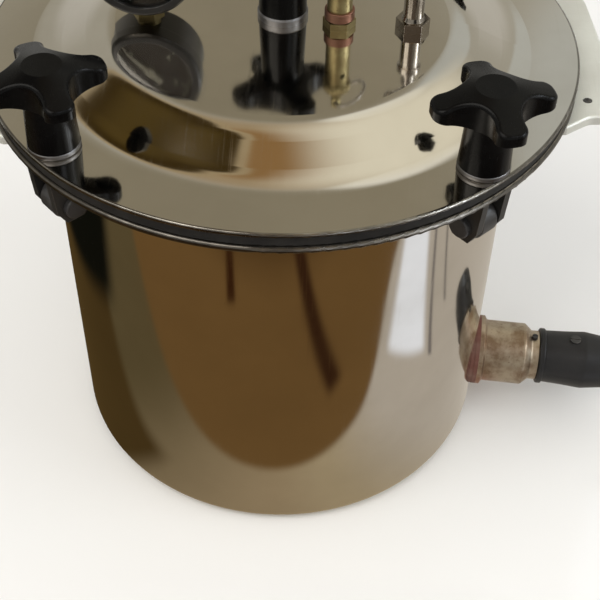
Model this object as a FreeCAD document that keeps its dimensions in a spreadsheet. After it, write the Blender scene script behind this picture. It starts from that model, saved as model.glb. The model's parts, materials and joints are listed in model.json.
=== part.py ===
import FreeCAD, Part
import math
import os

import Sketcher

# Bench-top electric autoclave: a deep-drawn steel vessel, a flat lid clamped by four star
# knobs on hinged-eye studs, lid fittings, a plug-in immersion heater, a basket and a trivet.
# Origin: centre of the vessel's base. +Z up, -Y towards the user, heater socket near +X.

VECTOR = FreeCAD.Vector
X_WAY = VECTOR(1, 0, 0)
Y_WAY = VECTOR(0, 1, 0)
Z_WAY = VECTOR(0, 0, 1)
UPRIGHT = FreeCAD.Rotation()
ALONG_X = FreeCAD.Rotation(Y_WAY, 90)
FACING_FRONT = FreeCAD.Rotation(X_WAY, 90)

DIMENSIONS = {
    # vessel
    "body_radius": 125, "wall": 1.5, "bottom_round": 9, "flange_top": 250,
    "flange_radius": 152.5, "flange_thick": 3.5,
    # lid and gasket
    "gasket_thick": 6, "gasket_inner": 118, "gasket_outer": 151, "lid_thick": 2.5,
    "lid_step": 12.5, "shoulder_radius": 120, "plateau_radius": 93, "shoulder_round": 36,
    "lid_edge_round": 1,
    # clamps
    "clamp_circle": 140, "clamp_angle": 45, "stud_radius": 5, "stud_hole": 6,
    "stud_top": 284, "eye_radius": 9.5, "eye_thick": 11, "pin_radius": 4, "pin_height": 228,
    "bracket_width": 19.4, "bracket_slot": 11.4, "bracket_drop": 27,
    "running_gap": 0.06,
    # star knobs
    "washer_radius": 12.5, "washer_thick": 3, "stem_base": 12.3, "stem_top": 11,
    "stem_length": 25.5, "head_radius": 28.5, "head_thick": 16, "head_droop": 6, "head_rise": 4.5,
    "tip_round": 5, "crown_round": 2, "scallop_radius": 13, "scallop_circle": 27.5,
    "insert_radius": 8, "insert_length": 28, "core_radius": 4.5, "core_circle": 21,
    "core_depth": 8.5, "lid_knob_stem": 33.5, "lid_stud_radius": 4, "ferrule_height": 4,
    "stud_below": 8, "lid_nut_height": 6,
    # side handles
    "handle_angle": 6, "handle_out": 171, "handle_half": 57.5, "handle_thick": 2.5,
    "handle_lip": 5, "handle_hole": 2.4, "hole_out": 152.5, "hole_side": 44, "web_in": 138,
    "web_out": 151, "web_side": 8, "tab_thick": 2.5, "tab_drop": 24, "tab_angle": 44,
    "rivet_radius": 2.5, "rivet_head": 5,
    # heater inlet
    "inlet_height": 35, "inlet_angle": -4, "neck_radius": 10, "shroud_radius": 19.5,
    "shroud_bore": 17.5, "shroud_start": 127.6, "shroud_end": 155, "cap_end": 165,
    "cap_radius": 15.5, "cap_bore": 13.6, "screw_radius": 1.8, "screw_shank": 1,
    "screw_seat": 0.4, "screw_back": 3.2, "socket_pin": 2.25, "socket_circle": 7.5,
    "plug_end": 212, "plug_radius": 17, "element_radius": 4, "element_reach": 78,
    # basket and trivet
    "trivet_top": 48, "trivet_radius": 108, "trivet_leg": 4, "trivet_leg_circle": 99,
    "basket_bottom": 50, "basket_top": 190, "basket_radius": 106, "basket_wall": 1,
    "bail_pivot": 197, "bail_height": 58, "bail_wire": 2.4, "bail_half": 100,
    # lid fittings
    "gauge_x": -69, "gauge_radius": 26, "gauge_height": 33, "gauge_depth": 27,
    "valve_x": 29, "valve_y": -7, "petcock_x": 66, "petcock_y": -6,
    "fitting_shank": 4.9, "fitting_hole": 5.0,
}


class Formula:
    """A size worked out from the sheet: its value, and the expression that keeps it bound."""

    def __init__(self, value, text):
        self.value = value
        self.text = text

    def __add__(self, other):
        other = formula(other)
        return Formula(self.value + other.value, f"({self.text} + {other.text})")

    def __sub__(self, other):
        other = formula(other)
        return Formula(self.value - other.value, f"({self.text} - {other.text})")

    def __mul__(self, other):
        other = formula(other)
        return Formula(self.value * other.value, f"({self.text} * {other.text})")

    def __neg__(self):
        return Formula(-self.value, f"(-{self.text})")

    def __radd__(self, other):
        return formula(other) + self

    def __rsub__(self, other):
        return formula(other) - self

    def __rmul__(self, other):
        return self * other


def formula(size):
    """A plain number or a Formula, as a Formula."""
    if isinstance(size, Formula):
        return size
    return Formula(float(size), f"({float(size)})")


def cosine(angle):
    angle = formula(angle)
    return Formula(math.cos(math.radians(angle.value)), f"cos({angle.text})")


def sine(angle):
    angle = formula(angle)
    return Formula(math.sin(math.radians(angle.value)), f"sin({angle.text})")


doc = FreeCAD.newDocument("autoclave")
sheet = doc.addObject("Spreadsheet::Sheet", "dims")
SUB_PARTS = []


class Dimensions:
    """The sheet's cells, read as formulas: size.wall is dims.wall."""

    def __init__(self, cells):
        for row, (alias, number) in enumerate(cells.items(), start=1):
            sheet.set(f"A{row}", alias)
            sheet.set(f"B{row}", str(number))
            sheet.setAlias(f"B{row}", alias)
            setattr(self, alias, Formula(float(number), f"dims.{alias}"))
        doc.recompute()


size = Dimensions(DIMENSIONS)

# ------------------------------------------------------------------ building blocks


def bind(item, path, length):
    item.setExpression(path, formula(length).text)


def place(item, x=0, y=0, z=0, turn=UPRIGHT):
    """Puts an object's own origin at x, y, z, with a fixed rotation."""
    x, y, z = formula(x), formula(y), formula(z)
    item.Placement = FreeCAD.Placement(VECTOR(x.value, y.value, z.value), turn)
    for axis, length in zip("xyz", (x, y, z)):
        bind(item, f"Placement.Base.{axis}", length)
    return item


def about_z(angle, turn=UPRIGHT):
    """A rotation followed by a turn about the vertical axis."""
    return FreeCAD.Rotation(Z_WAY, formula(angle).value) * turn


def clamp_angle(index):
    """The angle of one clamp about the vessel."""
    return size.clamp_angle + 90 * index


def at_clamp(index):
    """The x and y of one clamp's stud."""
    angle = clamp_angle(index)
    return size.clamp_circle * cosine(angle), size.clamp_circle * sine(angle)


def primitive(kind, name, **lengths):
    item = doc.addObject(f"Part::{kind}", name)
    for path, length in lengths.items():
        bind(item, path, length)
    return item


def rod(name, radius, length):
    return primitive("Cylinder", name, Radius=radius, Height=length)


def block(name, length, width, height):
    return primitive("Box", name, Length=length, Width=width, Height=height)


def hexagon(name, across_flats, height):
    item = primitive("Prism", name, Height=height)
    item.Polygon = 6
    bind(item, "Circumradius", formula(across_flats) * (1 / math.sqrt(3)))
    return item


def fused(name, *items):
    item = doc.addObject("Part::MultiFuse", name)
    item.Shapes = list(items)
    return item


def cut(name, base, *tools):
    item = doc.addObject("Part::Cut", name)
    item.Base = base
    item.Tool = tools[0] if len(tools) == 1 else fused(f"{name}_tools", *tools)
    return item


def group(name, items):
    """Several identical solids that share one node."""
    item = doc.addObject("Part::Compound", name)
    item.Links = list(items)
    return item


def keep(item, label=None):
    """Lists an object as a sub-part; its label names its file."""
    item.Label = label or item.Name
    SUB_PARTS.append(item)
    return item


def sketch_on(body, name, plane, offset=0):
    sketch = body.newObject("Sketcher::SketchObject", name)
    base = next(item for item in body.Origin.OriginFeatures if item.Role == plane)
    sketch.AttachmentSupport = [(base, "")]
    sketch.MapMode = "FlatFace"
    bind(sketch, "AttachmentOffset.Base.z", offset)
    return sketch


def pin_point(sketch, geometry, corner, across, up):
    """Holds one sketch point at a distance from the sketch's origin."""
    for kind, length in (("DistanceX", across), ("DistanceY", up)):
        length = formula(length)
        index = sketch.addConstraint(Sketcher.Constraint(kind, -1, 1, geometry, corner, length.value))
        bind(sketch, f"Constraints[{index}]", length)


def outline(sketch, points):
    """A closed outline of straight lines through the points."""
    points = [(formula(across), formula(up)) for across, up in points]
    spots = [VECTOR(across.value, up.value, 0) for across, up in points]
    lines = [
        sketch.addGeometry(Part.LineSegment(spot, after), False)
        for spot, after in zip(spots, spots[1:] + spots[:1])
    ]
    for line, after in zip(lines, lines[1:] + lines[:1]):
        sketch.addConstraint(Sketcher.Constraint("Coincident", line, 2, after, 1))
    for line, (across, up) in zip(lines, points):
        pin_point(sketch, line, 1, across, up)


def circle(sketch, radius, across=0, up=0):
    radius, across, up = formula(radius), formula(across), formula(up)
    ring = Part.Circle(VECTOR(across.value, up.value, 0), Z_WAY, radius.value)
    index = sketch.addGeometry(ring, False)
    pin_point(sketch, index, 3, across, up)
    held = sketch.addConstraint(Sketcher.Constraint("Radius", index, radius.value))
    bind(sketch, f"Constraints[{held}]", radius)


def new_body(name):
    return doc.addObject("PartDesign::Body", name)


def turned(name, points):
    """A body turned about its own Z axis from an outline of (radius, height) points."""
    body = new_body(name)
    sketch = sketch_on(body, f"{name}_profile", "XZ_Plane")
    outline(sketch, points)
    turn = body.newObject("PartDesign::Revolution", f"{name}_turn")
    turn.Profile = sketch
    turn.ReferenceAxis = (sketch, ["V_Axis"])
    turn.Angle = 360
    doc.recompute()
    return body


def padded(body, name, length, offset=0, plane="XY_Plane", draw=(), midplane=False):
    """A pad of what the draw calls put in its sketch, from a plane and an offset."""
    sketch = sketch_on(body, f"{name}_sketch", plane, offset)
    for call, arguments in draw:
        call(sketch, *arguments)
    pad = body.newObject("PartDesign::Pad", name)
    pad.Profile = sketch
    pad.Midplane = midplane
    bind(pad, "Length", length)
    doc.recompute()
    return pad


def pocket(body, name, length, offset, draw, plane="XY_Plane", midplane=False, count=1):
    """A pocket cut downwards from a plane, repeated about the Z axis when count is over 1."""
    before = body.Shape.Volume
    sketch = sketch_on(body, f"{name}_sketch", plane, offset)
    for call, arguments in draw:
        call(sketch, *arguments)
    hollow = body.newObject("PartDesign::Pocket", name)
    hollow.Profile = sketch
    hollow.Midplane = midplane
    bind(hollow, "Length", length)
    doc.recompute()
    if body.Shape.Volume >= before:
        raise RuntimeError(f"{name} removed nothing")
    if count > 1:
        around(body, hollow, count)
    return hollow


def around(body, feature, count):
    """Repeats a feature about the body's own Z axis."""
    pattern = body.newObject("PartDesign::PolarPattern", f"{feature.Name}_pattern")
    pattern.Originals = [feature]
    axis = next(item for item in body.Origin.OriginFeatures if item.Role == "Z_Axis")
    pattern.Axis = (axis, [""])
    pattern.Angle = 360
    pattern.Occurrences = count
    body.Tip = pattern
    doc.recompute()


def rounded(body, name, radius, wanted):
    """Fillets the edges of the body's tip that the test picks."""
    base = body.Tip
    edges = [f"Edge{i}" for i, edge in enumerate(base.Shape.Edges, start=1) if wanted(edge)]
    fillet = body.newObject("PartDesign::Fillet", name)
    fillet.Base = (base, edges)
    bind(fillet, "Radius", radius)
    doc.recompute()
    return fillet


def is_ring(edge, radius, height):
    """Whether an edge is a full circle about Z of this radius, at this height."""
    curve = edge.Curve
    return (
        isinstance(curve, Part.Circle)
        and abs(curve.Radius - formula(radius).value) < 0.01
        and abs(curve.Center.z - formula(height).value) < 0.01
        and abs(curve.Center.x) + abs(curve.Center.y) < 0.01
    )


def rings(*places):
    return lambda edge: any(is_ring(edge, radius, height) for radius, height in places)


def bent_path(name, points, bend):
    """A wire of straight runs joined by tangent arcs of one radius."""
    points = [VECTOR(*[formula(length).value for length in point]) for point in points]
    edges = []
    start = points[0]
    for before, corner, after in zip(points, points[1:], points[2:]):
        inward = (before - corner).normalize()
        onward = (after - corner).normalize()
        half = inward.getAngle(onward) / 2
        reach = bend / math.tan(half)
        middle = corner + (inward + onward).normalize() * (bend / math.sin(half) - bend)
        edges.append(Part.LineSegment(start, corner + inward * reach).toShape())
        start = corner + onward * reach
        edges.append(Part.Arc(corner + inward * reach, middle, start).toShape())
    edges.append(Part.LineSegment(start, points[-1]).toShape())
    path = doc.addObject("Part::Feature", name)
    path.Shape = Part.Wire(edges)
    return path


def swept(name, points, bend, radius):
    """A round wire or tube along a bent path."""
    path = bent_path(f"{name}_path", points, bend)
    profile = primitive("Circle", f"{name}_section", Radius=radius)
    first, second = [VECTOR(*[formula(length).value for length in point]) for point in points[:2]]
    profile.Placement = FreeCAD.Placement(first, FreeCAD.Rotation(Z_WAY, second - first))
    sweep = doc.addObject("Part::Sweep", name)
    sweep.Sections = [profile]
    sweep.Spine = path
    sweep.Solid = True
    sweep.Frenet = False
    doc.recompute()
    return sweep


# ------------------------------------------------------------------ heights worked out once

FLANGE_UNDER = size.flange_top - size.flange_thick
LID_UNDER = size.flange_top + size.gasket_thick
LID_FLANGE = LID_UNDER + size.lid_thick
LID_TOP = LID_FLANGE + size.lid_step
PLATEAU_UNDER = LID_TOP - size.lid_thick
INLET_TURN = about_z(size.inlet_angle, ALONG_X)

# ------------------------------------------------------------------ vessel


def vessel_shell():
    """The deep-drawn pot, with a hole for the heater's neck."""
    inner = size.body_radius - size.wall
    pot = turned("vessel_pot", [
        (0, 0), (size.body_radius, 0), (size.body_radius, size.flange_top),
        (inner, size.flange_top), (inner, size.wall), (0, size.wall),
    ])
    rounded(pot, "pot_outer_round", size.bottom_round, rings((size.body_radius, 0)))
    rounded(pot, "pot_inner_round", size.bottom_round - size.wall, rings((inner, size.wall)))
    hole = rod("inlet_hole", size.neck_radius + 0.5, 20)
    place(
        hole, (size.body_radius - 10) * cosine(size.inlet_angle),
        (size.body_radius - 10) * sine(size.inlet_angle), size.inlet_height, INLET_TURN,
    )
    keep(cut("vessel_shell", pot, hole))


def vessel_flange():
    """The flat ring round the pot's mouth, drilled for the four studs."""
    body = new_body("vessel_flange")
    padded(body, "flange_ring", size.flange_thick, FLANGE_UNDER, draw=[
        (circle, (size.flange_radius,)), (circle, (size.body_radius,)),
    ])
    drill_for_studs(body, "flange_hole", size.flange_top, size.flange_thick)
    rounded(body, "flange_edges", 1.4, rings(
        (size.flange_radius, size.flange_top), (size.flange_radius, FLANGE_UNDER),
    ))
    keep(body)


def drill_for_studs(body, name, top, depth, radius=None):
    across, back = at_clamp(0)
    hole = (circle, (radius or size.stud_hole, across, back))
    pocket(body, name, depth, top, [hole], count=4)


def clamp_bracket(index):
    """One clevis under the flange: two cheeks joined by a web against the pot."""
    body = new_body(f"clamp_bracket_{index}")
    near = size.body_radius
    low = FLANGE_UNDER - size.bracket_drop
    padded(body, f"cheeks_{index}", size.bracket_width, plane="XZ_Plane", midplane=True, draw=[
        (outline, ([
            (near, FLANGE_UNDER), (near + 26, FLANGE_UNDER), (near + 24.5, low + 8),
            (near + 20, low), (near + 10, low), (near, low + 14),
        ],)),
    ])
    pocket(body, f"clevis_slot_{index}", size.bracket_drop + 1, FLANGE_UNDER, [
        (outline, ([
            (near + 3, -size.bracket_slot * 0.5), (near + 30, -size.bracket_slot * 0.5),
            (near + 30, size.bracket_slot * 0.5), (near + 3, size.bracket_slot * 0.5),
        ],)),
    ])
    pocket(
        body, f"pin_hole_{index}", size.bracket_width + 2, 0,
        [(circle, (size.pin_radius, size.clamp_circle, size.pin_height))],
        plane="XZ_Plane", midplane=True,
    )
    return place(body, turn=about_z(clamp_angle(index)))


def clamp_stud(index):
    """One eye bolt: an eye on the pin and a plain shank up through the flanges."""
    eye = rod(f"stud_eye_{index}", size.eye_radius, size.eye_thick)
    place(eye, 0, size.eye_thick * 0.5, 0, FACING_FRONT)
    shank = rod(f"stud_shank_{index}", size.stud_radius, size.stud_top - size.pin_height)
    hole = rod(f"stud_hole_{index}", size.pin_radius + size.running_gap, size.eye_thick + 2)
    place(hole, 0, size.eye_thick * 0.5 + 1, 0, FACING_FRONT)
    stud = cut(f"clamp_stud_{index}", fused(f"stud_blank_{index}", eye, shank), hole)
    across, back = at_clamp(index)
    return place(stud, across, back, size.pin_height, about_z(clamp_angle(index)))


def bracket_pin(index):
    """One clevis pin with a head at each end of the cheeks."""
    half = size.bracket_width * 0.5
    pin = turned(f"bracket_pin_{index}", [
        (0, -half - 3), (size.pin_radius + 2, -half - 3), (size.pin_radius + 2, -half),
        (size.pin_radius, -half), (size.pin_radius, half), (size.pin_radius + 2, half),
        (size.pin_radius + 2, half + 3), (0, half + 3),
    ])
    rounded(pin, f"pin_round_{index}", 1, rings(
        (size.pin_radius + 2, -half - 3), (size.pin_radius + 2, half + 3),
    ))
    across, back = at_clamp(index)
    return place(pin, across, back, size.pin_height, about_z(clamp_angle(index), FACING_FRONT))


def clamps():
    keep(group("clamp_brackets", [clamp_bracket(index) for index in range(4)]))
    keep(group("clamp_studs", [clamp_stud(index) for index in range(4)]))
    keep(group("bracket_pins", [bracket_pin(index) for index in range(4)]))


def side_handle(label, angle):
    """A pressed grip under the flange: a flat top, a turned-down lip and a wall tab."""
    plate = new_body(f"{label}_plate")
    low = size.body_radius - 12
    web = size.handle_half + size.web_side
    rim = (outline, ([
        (low, -web), (size.web_in, -web), (size.web_out, -size.handle_half),
        (size.handle_out, -size.handle_half), (size.handle_out, size.handle_half),
        (size.web_out, size.handle_half), (size.web_in, web), (low, web),
    ],))
    padded(plate, f"{label}_blank", size.handle_lip, FLANGE_UNDER - size.handle_lip, draw=[rim])
    rounded(plate, f"{label}_corners", 12, lambda edge: (
        abs(edge.tangentAt(edge.FirstParameter).z) > 0.99
        and edge.BoundBox.XMin > size.handle_out.value - 1
    ))
    rounded(plate, f"{label}_web", 8, lambda edge: (
        abs(edge.tangentAt(edge.FirstParameter).z) > 0.99
        and abs(edge.CenterOfMass.x - size.web_out.value) < 0.1
    ))
    rounded(plate, f"{label}_brow", 1.5, lambda edge: (
        edge.BoundBox.ZMin > FLANGE_UNDER.value - 0.01 and edge.BoundBox.XMax > low.value + 1
    ))
    inset = size.handle_thick * 0.8
    pocket(
        plate, f"{label}_hollow", size.handle_lip - size.handle_thick + 5,
        FLANGE_UNDER - size.handle_thick, [(outline, ([
            (low - 1, inset - size.handle_half), (size.handle_out - inset, inset - size.handle_half),
            (size.handle_out - inset, size.handle_half - inset), (low - 1, size.handle_half - inset),
        ],))],
    )
    pocket(plate, f"{label}_holes", size.handle_thick + 2, FLANGE_UNDER + 1, [
        (circle, (size.handle_hole, size.hole_out, -size.hole_side)),
        (circle, (size.handle_hole, size.hole_out, size.hole_side)),
    ])
    wall = rod(f"{label}_wall", size.body_radius + 0.2, 60)
    place(wall, 0, 0, FLANGE_UNDER - 50)
    sector = rod(f"{label}_sector", size.body_radius + 0.2 + size.tab_thick, size.tab_drop)
    bind(sector, "Angle", size.tab_angle)
    place(sector, 0, 0, FLANGE_UNDER - size.tab_drop, about_z(size.tab_angle * -0.5))
    handle = cut(label, fused(f"{label}_metal", plate, sector), wall)
    keep(place(handle, turn=about_z(angle)))


def handle_rivet(label, angle):
    """A domed rivet through a handle's tab and the pot's wall."""
    start = size.body_radius - size.wall - 1.5
    face = size.body_radius + 0.2 + size.tab_thick
    rivet = turned(label, [
        (0, start), (size.rivet_head - 1, start), (size.rivet_head - 1, start + 1.2),
        (size.rivet_radius, start + 1.2), (size.rivet_radius, face),
        (size.rivet_head, face), (size.rivet_head - 1.5, face + 2), (0, face + 2.4),
    ])
    return place(rivet, 0, 0, FLANGE_UNDER - 17, about_z(angle, ALONG_X))


def handles():
    side_handle("side_handle_right", size.handle_angle)
    side_handle("side_handle_left", size.handle_angle + 180)
    places = [size.handle_angle + half + side for half in (0, 180) for side in (-16, 16)]
    keep(group("handle_rivets", [
        handle_rivet(f"handle_rivet_{number}", angle) for number, angle in enumerate(places)
    ]))


# ------------------------------------------------------------------ heater and its plug


def radial(item, label=None):
    """A piece built along the inlet's axis, measured out from the vessel's centre."""
    return keep(place(item, 0, 0, size.inlet_height, INLET_TURN), label)


def socket_places():
    """Where the three contacts stand round the inlet's axis."""
    return [
        (size.socket_circle * cosine(angle), size.socket_circle * sine(angle))
        for angle in (0, 120, 240)
    ]


def contact_rods(name, radius, start, end):
    return [
        place(rod(f"{name}_{number}", radius, end - start), across, back, start)
        for number, (across, back) in enumerate(socket_places())
    ]


def heater():
    wall_inside = size.body_radius - size.wall
    neck_end = size.body_radius + 15
    head = turned("heater_head", [
        (0, wall_inside - 8), (16, wall_inside - 8), (16, wall_inside - 4),
        (size.neck_radius, wall_inside - 4), (size.neck_radius, neck_end), (0, neck_end),
    ])
    rounded(head, "head_round", 1.2, rings((16, wall_inside - 8)))
    radial(head)
    seals = [
        ("seal_inside", 15, wall_inside - 4, wall_inside - 1.8),
        ("seal_outside", 22, size.body_radius + 0.1, size.shroud_start),
    ]
    bore = size.neck_radius
    radial(group("heater_seals", [
        turned(name, [(bore, low), (outer, low), (outer, high), (bore, high)])
        for name, outer, low, high in seals
    ]))
    heater_shroud()
    nut = hexagon("backnut_blank", 28, 6)
    place(nut, 0, 0, size.shroud_start + 2.5)
    bore = place(rod("backnut_bore", size.neck_radius, 10), 0, 0, size.shroud_start)
    radial(cut("heater_backnut", nut, bore))
    heater_terminals()
    heater_element(wall_inside - 8)


def heater_shroud():
    """The round housing over the terminals, its reducing cap and its locking screw."""
    shroud = turned("heater_shroud", [
        (size.neck_radius, size.shroud_start), (22, size.shroud_start), (22, size.shroud_start + 2.5),
        (size.shroud_radius, size.shroud_start + 4), (size.shroud_radius, size.shroud_end),
        (size.shroud_bore, size.shroud_end), (size.shroud_bore, size.shroud_start + 2.5),
        (size.neck_radius, size.shroud_start + 2.5),
    ])
    radial(shroud)
    cap = turned("shroud_cap_turned", [
        (size.cap_bore, size.shroud_end - 5), (size.shroud_bore, size.shroud_end - 5),
        (size.shroud_bore, size.shroud_end), (size.shroud_radius, size.shroud_end),
        (size.shroud_radius, size.shroud_end + 1), (size.cap_radius, size.shroud_end + 5.5),
        (size.cap_radius, size.cap_end), (size.cap_bore, size.cap_end),
    ])
    rounded(cap, "cap_round", 1.5, rings(
        (size.shroud_radius, size.shroud_end + 1), (size.cap_radius, size.shroud_end + 5.5),
    ))
    across = FreeCAD.Rotation(Y_WAY, -90)
    here = {"x": size.screw_seat - size.cap_radius, "z": size.cap_end - size.screw_back, "turn": across}
    seat = place(rod("cap_screw_seat", size.screw_radius + size.running_gap, 3), **here)
    tapped = rod("cap_screw_hole", size.screw_shank, 6)
    place(tapped, -size.cap_bore + 2, 0, size.cap_end - size.screw_back, across)
    radial(cut("shroud_cap_bored", cap, seat, tapped), "shroud_cap")
    head = rod("shroud_screw_head", size.screw_radius, 2.6)
    shank_length = size.cap_radius - size.cap_bore - size.screw_seat
    shank = place(rod("shroud_screw_shank", size.screw_shank, shank_length + 1), z=-shank_length)
    slot = place(block("shroud_screw_slot", 4, 0.6, 1), -2, -0.3, 2)
    made = cut("shroud_screw_piece", fused("shroud_screw_blank", head, shank), slot)
    radial(group("shroud_screw", [place(made, **here)]))


def heater_terminals():
    """The ceramic block and the three pins of the inlet."""
    block_start = size.body_radius + 15
    disc = place(rod("terminal_disc", size.shroud_bore - 0.5, 6), 0, 0, block_start)
    holes = contact_rods("terminal_hole", size.socket_pin, block_start - 1, block_start + 7)
    radial(cut("terminal_block", disc, *holes))
    pins = contact_rods("terminal_pin", size.socket_pin, block_start + 1, size.cap_end - 3)
    radial(group("terminal_pins", pins))


def heater_element(start):
    """The sheathed element: one flat loop over the pot's floor, both ends in the head."""
    reach = size.element_reach
    side = 8
    loop = swept("element_loop", [
        (start, side, 0), (94, side, 0), (reach * 0.72, 64, 0), (-reach * 0.55, 72, 0),
        (-reach, 0, 0), (-reach * 0.55, -72, 0), (reach * 0.72, -64, 0), (94, -side, 0),
        (start, -side, 0),
    ], 14, size.element_radius)
    keep(place(group("heater_element", [loop]), 0, 0, size.inlet_height, about_z(size.inlet_angle)))


def plug():
    """The rewirable plug that feeds the inlet."""
    collar_end = size.cap_end + 4.2
    body = turned("plug_blank", [
        (0, size.cap_end - 12), (size.cap_bore - 0.3, size.cap_end - 12),
        (size.cap_bore - 0.3, collar_end), (size.plug_radius - 0.6, collar_end),
        (size.plug_radius, collar_end + 12), (size.plug_radius + 1, size.plug_end - 18),
        (size.plug_radius - 1.5, size.plug_end), (4.5, size.plug_end), (4.5, size.plug_end - 14),
        (0, size.plug_end - 14),
    ])
    rounded(body, "plug_soft", 5, rings((size.plug_radius - 1.5, size.plug_end)))
    rounded(body, "plug_swell", 6, rings((size.plug_radius + 1, size.plug_end - 18)))
    sockets = contact_rods("plug_bore", 3.3, size.cap_end - 13, size.cap_end + 8)
    recess = rod("plug_recess", 3.4, 6)
    place(recess, -size.plug_radius + 2, 0, size.cap_end + 22, FreeCAD.Rotation(Y_WAY, -90))
    radial(cut("plug_body", body, *sockets, recess))
    collar = turned("plug_collar", [
        (size.cap_bore - 0.3, size.cap_end + 0.3), (size.plug_radius + 0.6, size.cap_end + 0.3),
        (size.plug_radius + 0.6, collar_end), (size.cap_bore - 0.3, collar_end),
    ])
    rounded(collar, "collar_round", 1.2, rings(
        (size.plug_radius + 0.6, size.cap_end + 0.3), (size.plug_radius + 0.6, collar_end),
    ))
    radial(collar)
    outer = contact_rods("contact_tube", 3.3, size.cap_end - 12.5, size.cap_end + 8)
    inner = contact_rods(
        "contact_bore", size.socket_pin + size.running_gap, size.cap_end - 14, size.cap_end + 4,
    )
    radial(group("plug_contacts", [
        cut(f"plug_contact_{number}", *pair) for number, pair in enumerate(zip(outer, inner))
    ]))
    screw = rod("plug_screw_blank", 3.3, 3.4)
    slot = place(block("plug_screw_slot", 8, 0.8, 1), -4, -0.4, 2.8)
    made = cut("plug_screw_piece", screw, slot)
    place(made, -size.plug_radius + 2, 0, size.cap_end + 22, FreeCAD.Rotation(Y_WAY, -90))
    radial(group("plug_screw", [made]))


# ------------------------------------------------------------------ basket and trivet


def trivet():
    """The perforated stand that keeps the basket above the water."""
    body = new_body("trivet")
    under = size.trivet_top - 1.5
    across = size.trivet_leg_circle * cosine(60)
    back = size.trivet_leg_circle * sine(60)
    padded(body, "trivet_plate", 1.5, under, draw=[(circle, (size.trivet_radius,))])
    leg = padded(body, "trivet_leg", under - size.wall, size.wall, draw=[
        (circle, (size.trivet_leg, across, back)),
    ])
    around(body, leg, 3)
    for number, (radius, count) in enumerate(((20, 6), (44, 12), (68, 18), (88, 24))):
        hole = [(circle, (4.5, radius, 0))]
        pocket(body, f"trivet_holes_{number}", 4, size.trivet_top + 1, hole, count=count)
    keep(body)


def basket():
    """The slotted basket, with a rolled rim and two ears for its bail."""
    outer = size.basket_radius
    inner = outer - size.basket_wall
    body = turned("basket_pot", [
        (0, size.basket_bottom), (outer, size.basket_bottom), (outer, size.basket_top - 5),
        (outer + 2.5, size.basket_top - 5), (outer + 2.5, size.basket_top),
        (inner, size.basket_top), (inner, size.basket_bottom + size.basket_wall),
        (0, size.basket_bottom + size.basket_wall),
    ])
    rounded(body, "basket_foot", 6, rings((outer, size.basket_bottom)))
    rounded(body, "basket_rim", 1.2, rings(
        (outer + 2.5, size.basket_top), (outer + 2.5, size.basket_top - 5),
    ))
    for number, low in enumerate((62, 92, 122, 152)):
        slot = (outline, ([(-3, low), (3, low), (3, low + 22), (-3, low + 22)],))
        pocket(body, f"basket_slots_{number}", outer + 10, 0, [slot], plane="XZ_Plane", count=30)
    for number, (radius, count) in enumerate(((22, 6), (46, 12), (70, 18), (90, 24))):
        pocket(
            body, f"basket_holes_{number}", 4, size.basket_bottom + 3,
            [(circle, (4, radius, 0))], count=count,
        )
    ears = []
    for number, side in enumerate((-1, 1)):
        ear = block(f"basket_ear_{number}", 12, 2, size.bail_pivot + 6 - size.basket_top + 4)
        place(ear, -6, outer * side - 1 + side * 1.2, size.basket_top - 4)
        ears.append(ear)
    holes = [
        place(rod(f"ear_hole_{side}", 2.1, 12), 0, outer * side + 6, size.bail_pivot, FACING_FRONT)
        for side in (1, -1)
    ]
    keep(cut("basket", fused("basket_metal", body, *ears), *holes))


def bail():
    """The basket's wire handle, lying down to one side, and its two pivot rivets."""
    half = size.bail_half
    up = size.bail_height
    wire = swept("bail_wire_loop", [
        (3, -half, 0), (up - 26, -half, 0), (up, -half + 30, 0), (up, half - 30, 0),
        (up - 26, half, 0), (3, half, 0),
    ], 12, size.bail_wire)
    eyes = []
    for number, side in enumerate((-1, 1)):
        eye = rod(f"bail_eye_{number}", 5, 5)
        eyes.append(place(eye, 0, half * side + 2.5, 0, FACING_FRONT))
    holes = [
        place(rod(f"bail_hole_{number}", 2.1, 12), 0, half * side + 6, 0, FACING_FRONT)
        for number, side in enumerate((-1, 1))
    ]
    made = cut("basket_bail", fused("bail_metal", wire, *eyes), *holes)
    keep(place(made, 0, 0, size.bail_pivot))
    rivets = []
    for side in (-1, 1):
        rivet = turned(f"bail_rivet_{side + 1}", [
            (0, 0), (4, 0), (4, 1.2), (2.04, 1.2), (2.04, 12.5), (4, 12.5), (4, 13.7), (0, 13.7),
        ])
        turn = FreeCAD.Rotation(X_WAY, -90 * side)
        rivets.append(place(rivet, 0, (half - 4) * side, size.bail_pivot, turn))
    keep(group("bail_rivets", rivets))


# ------------------------------------------------------------------ lid


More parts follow.
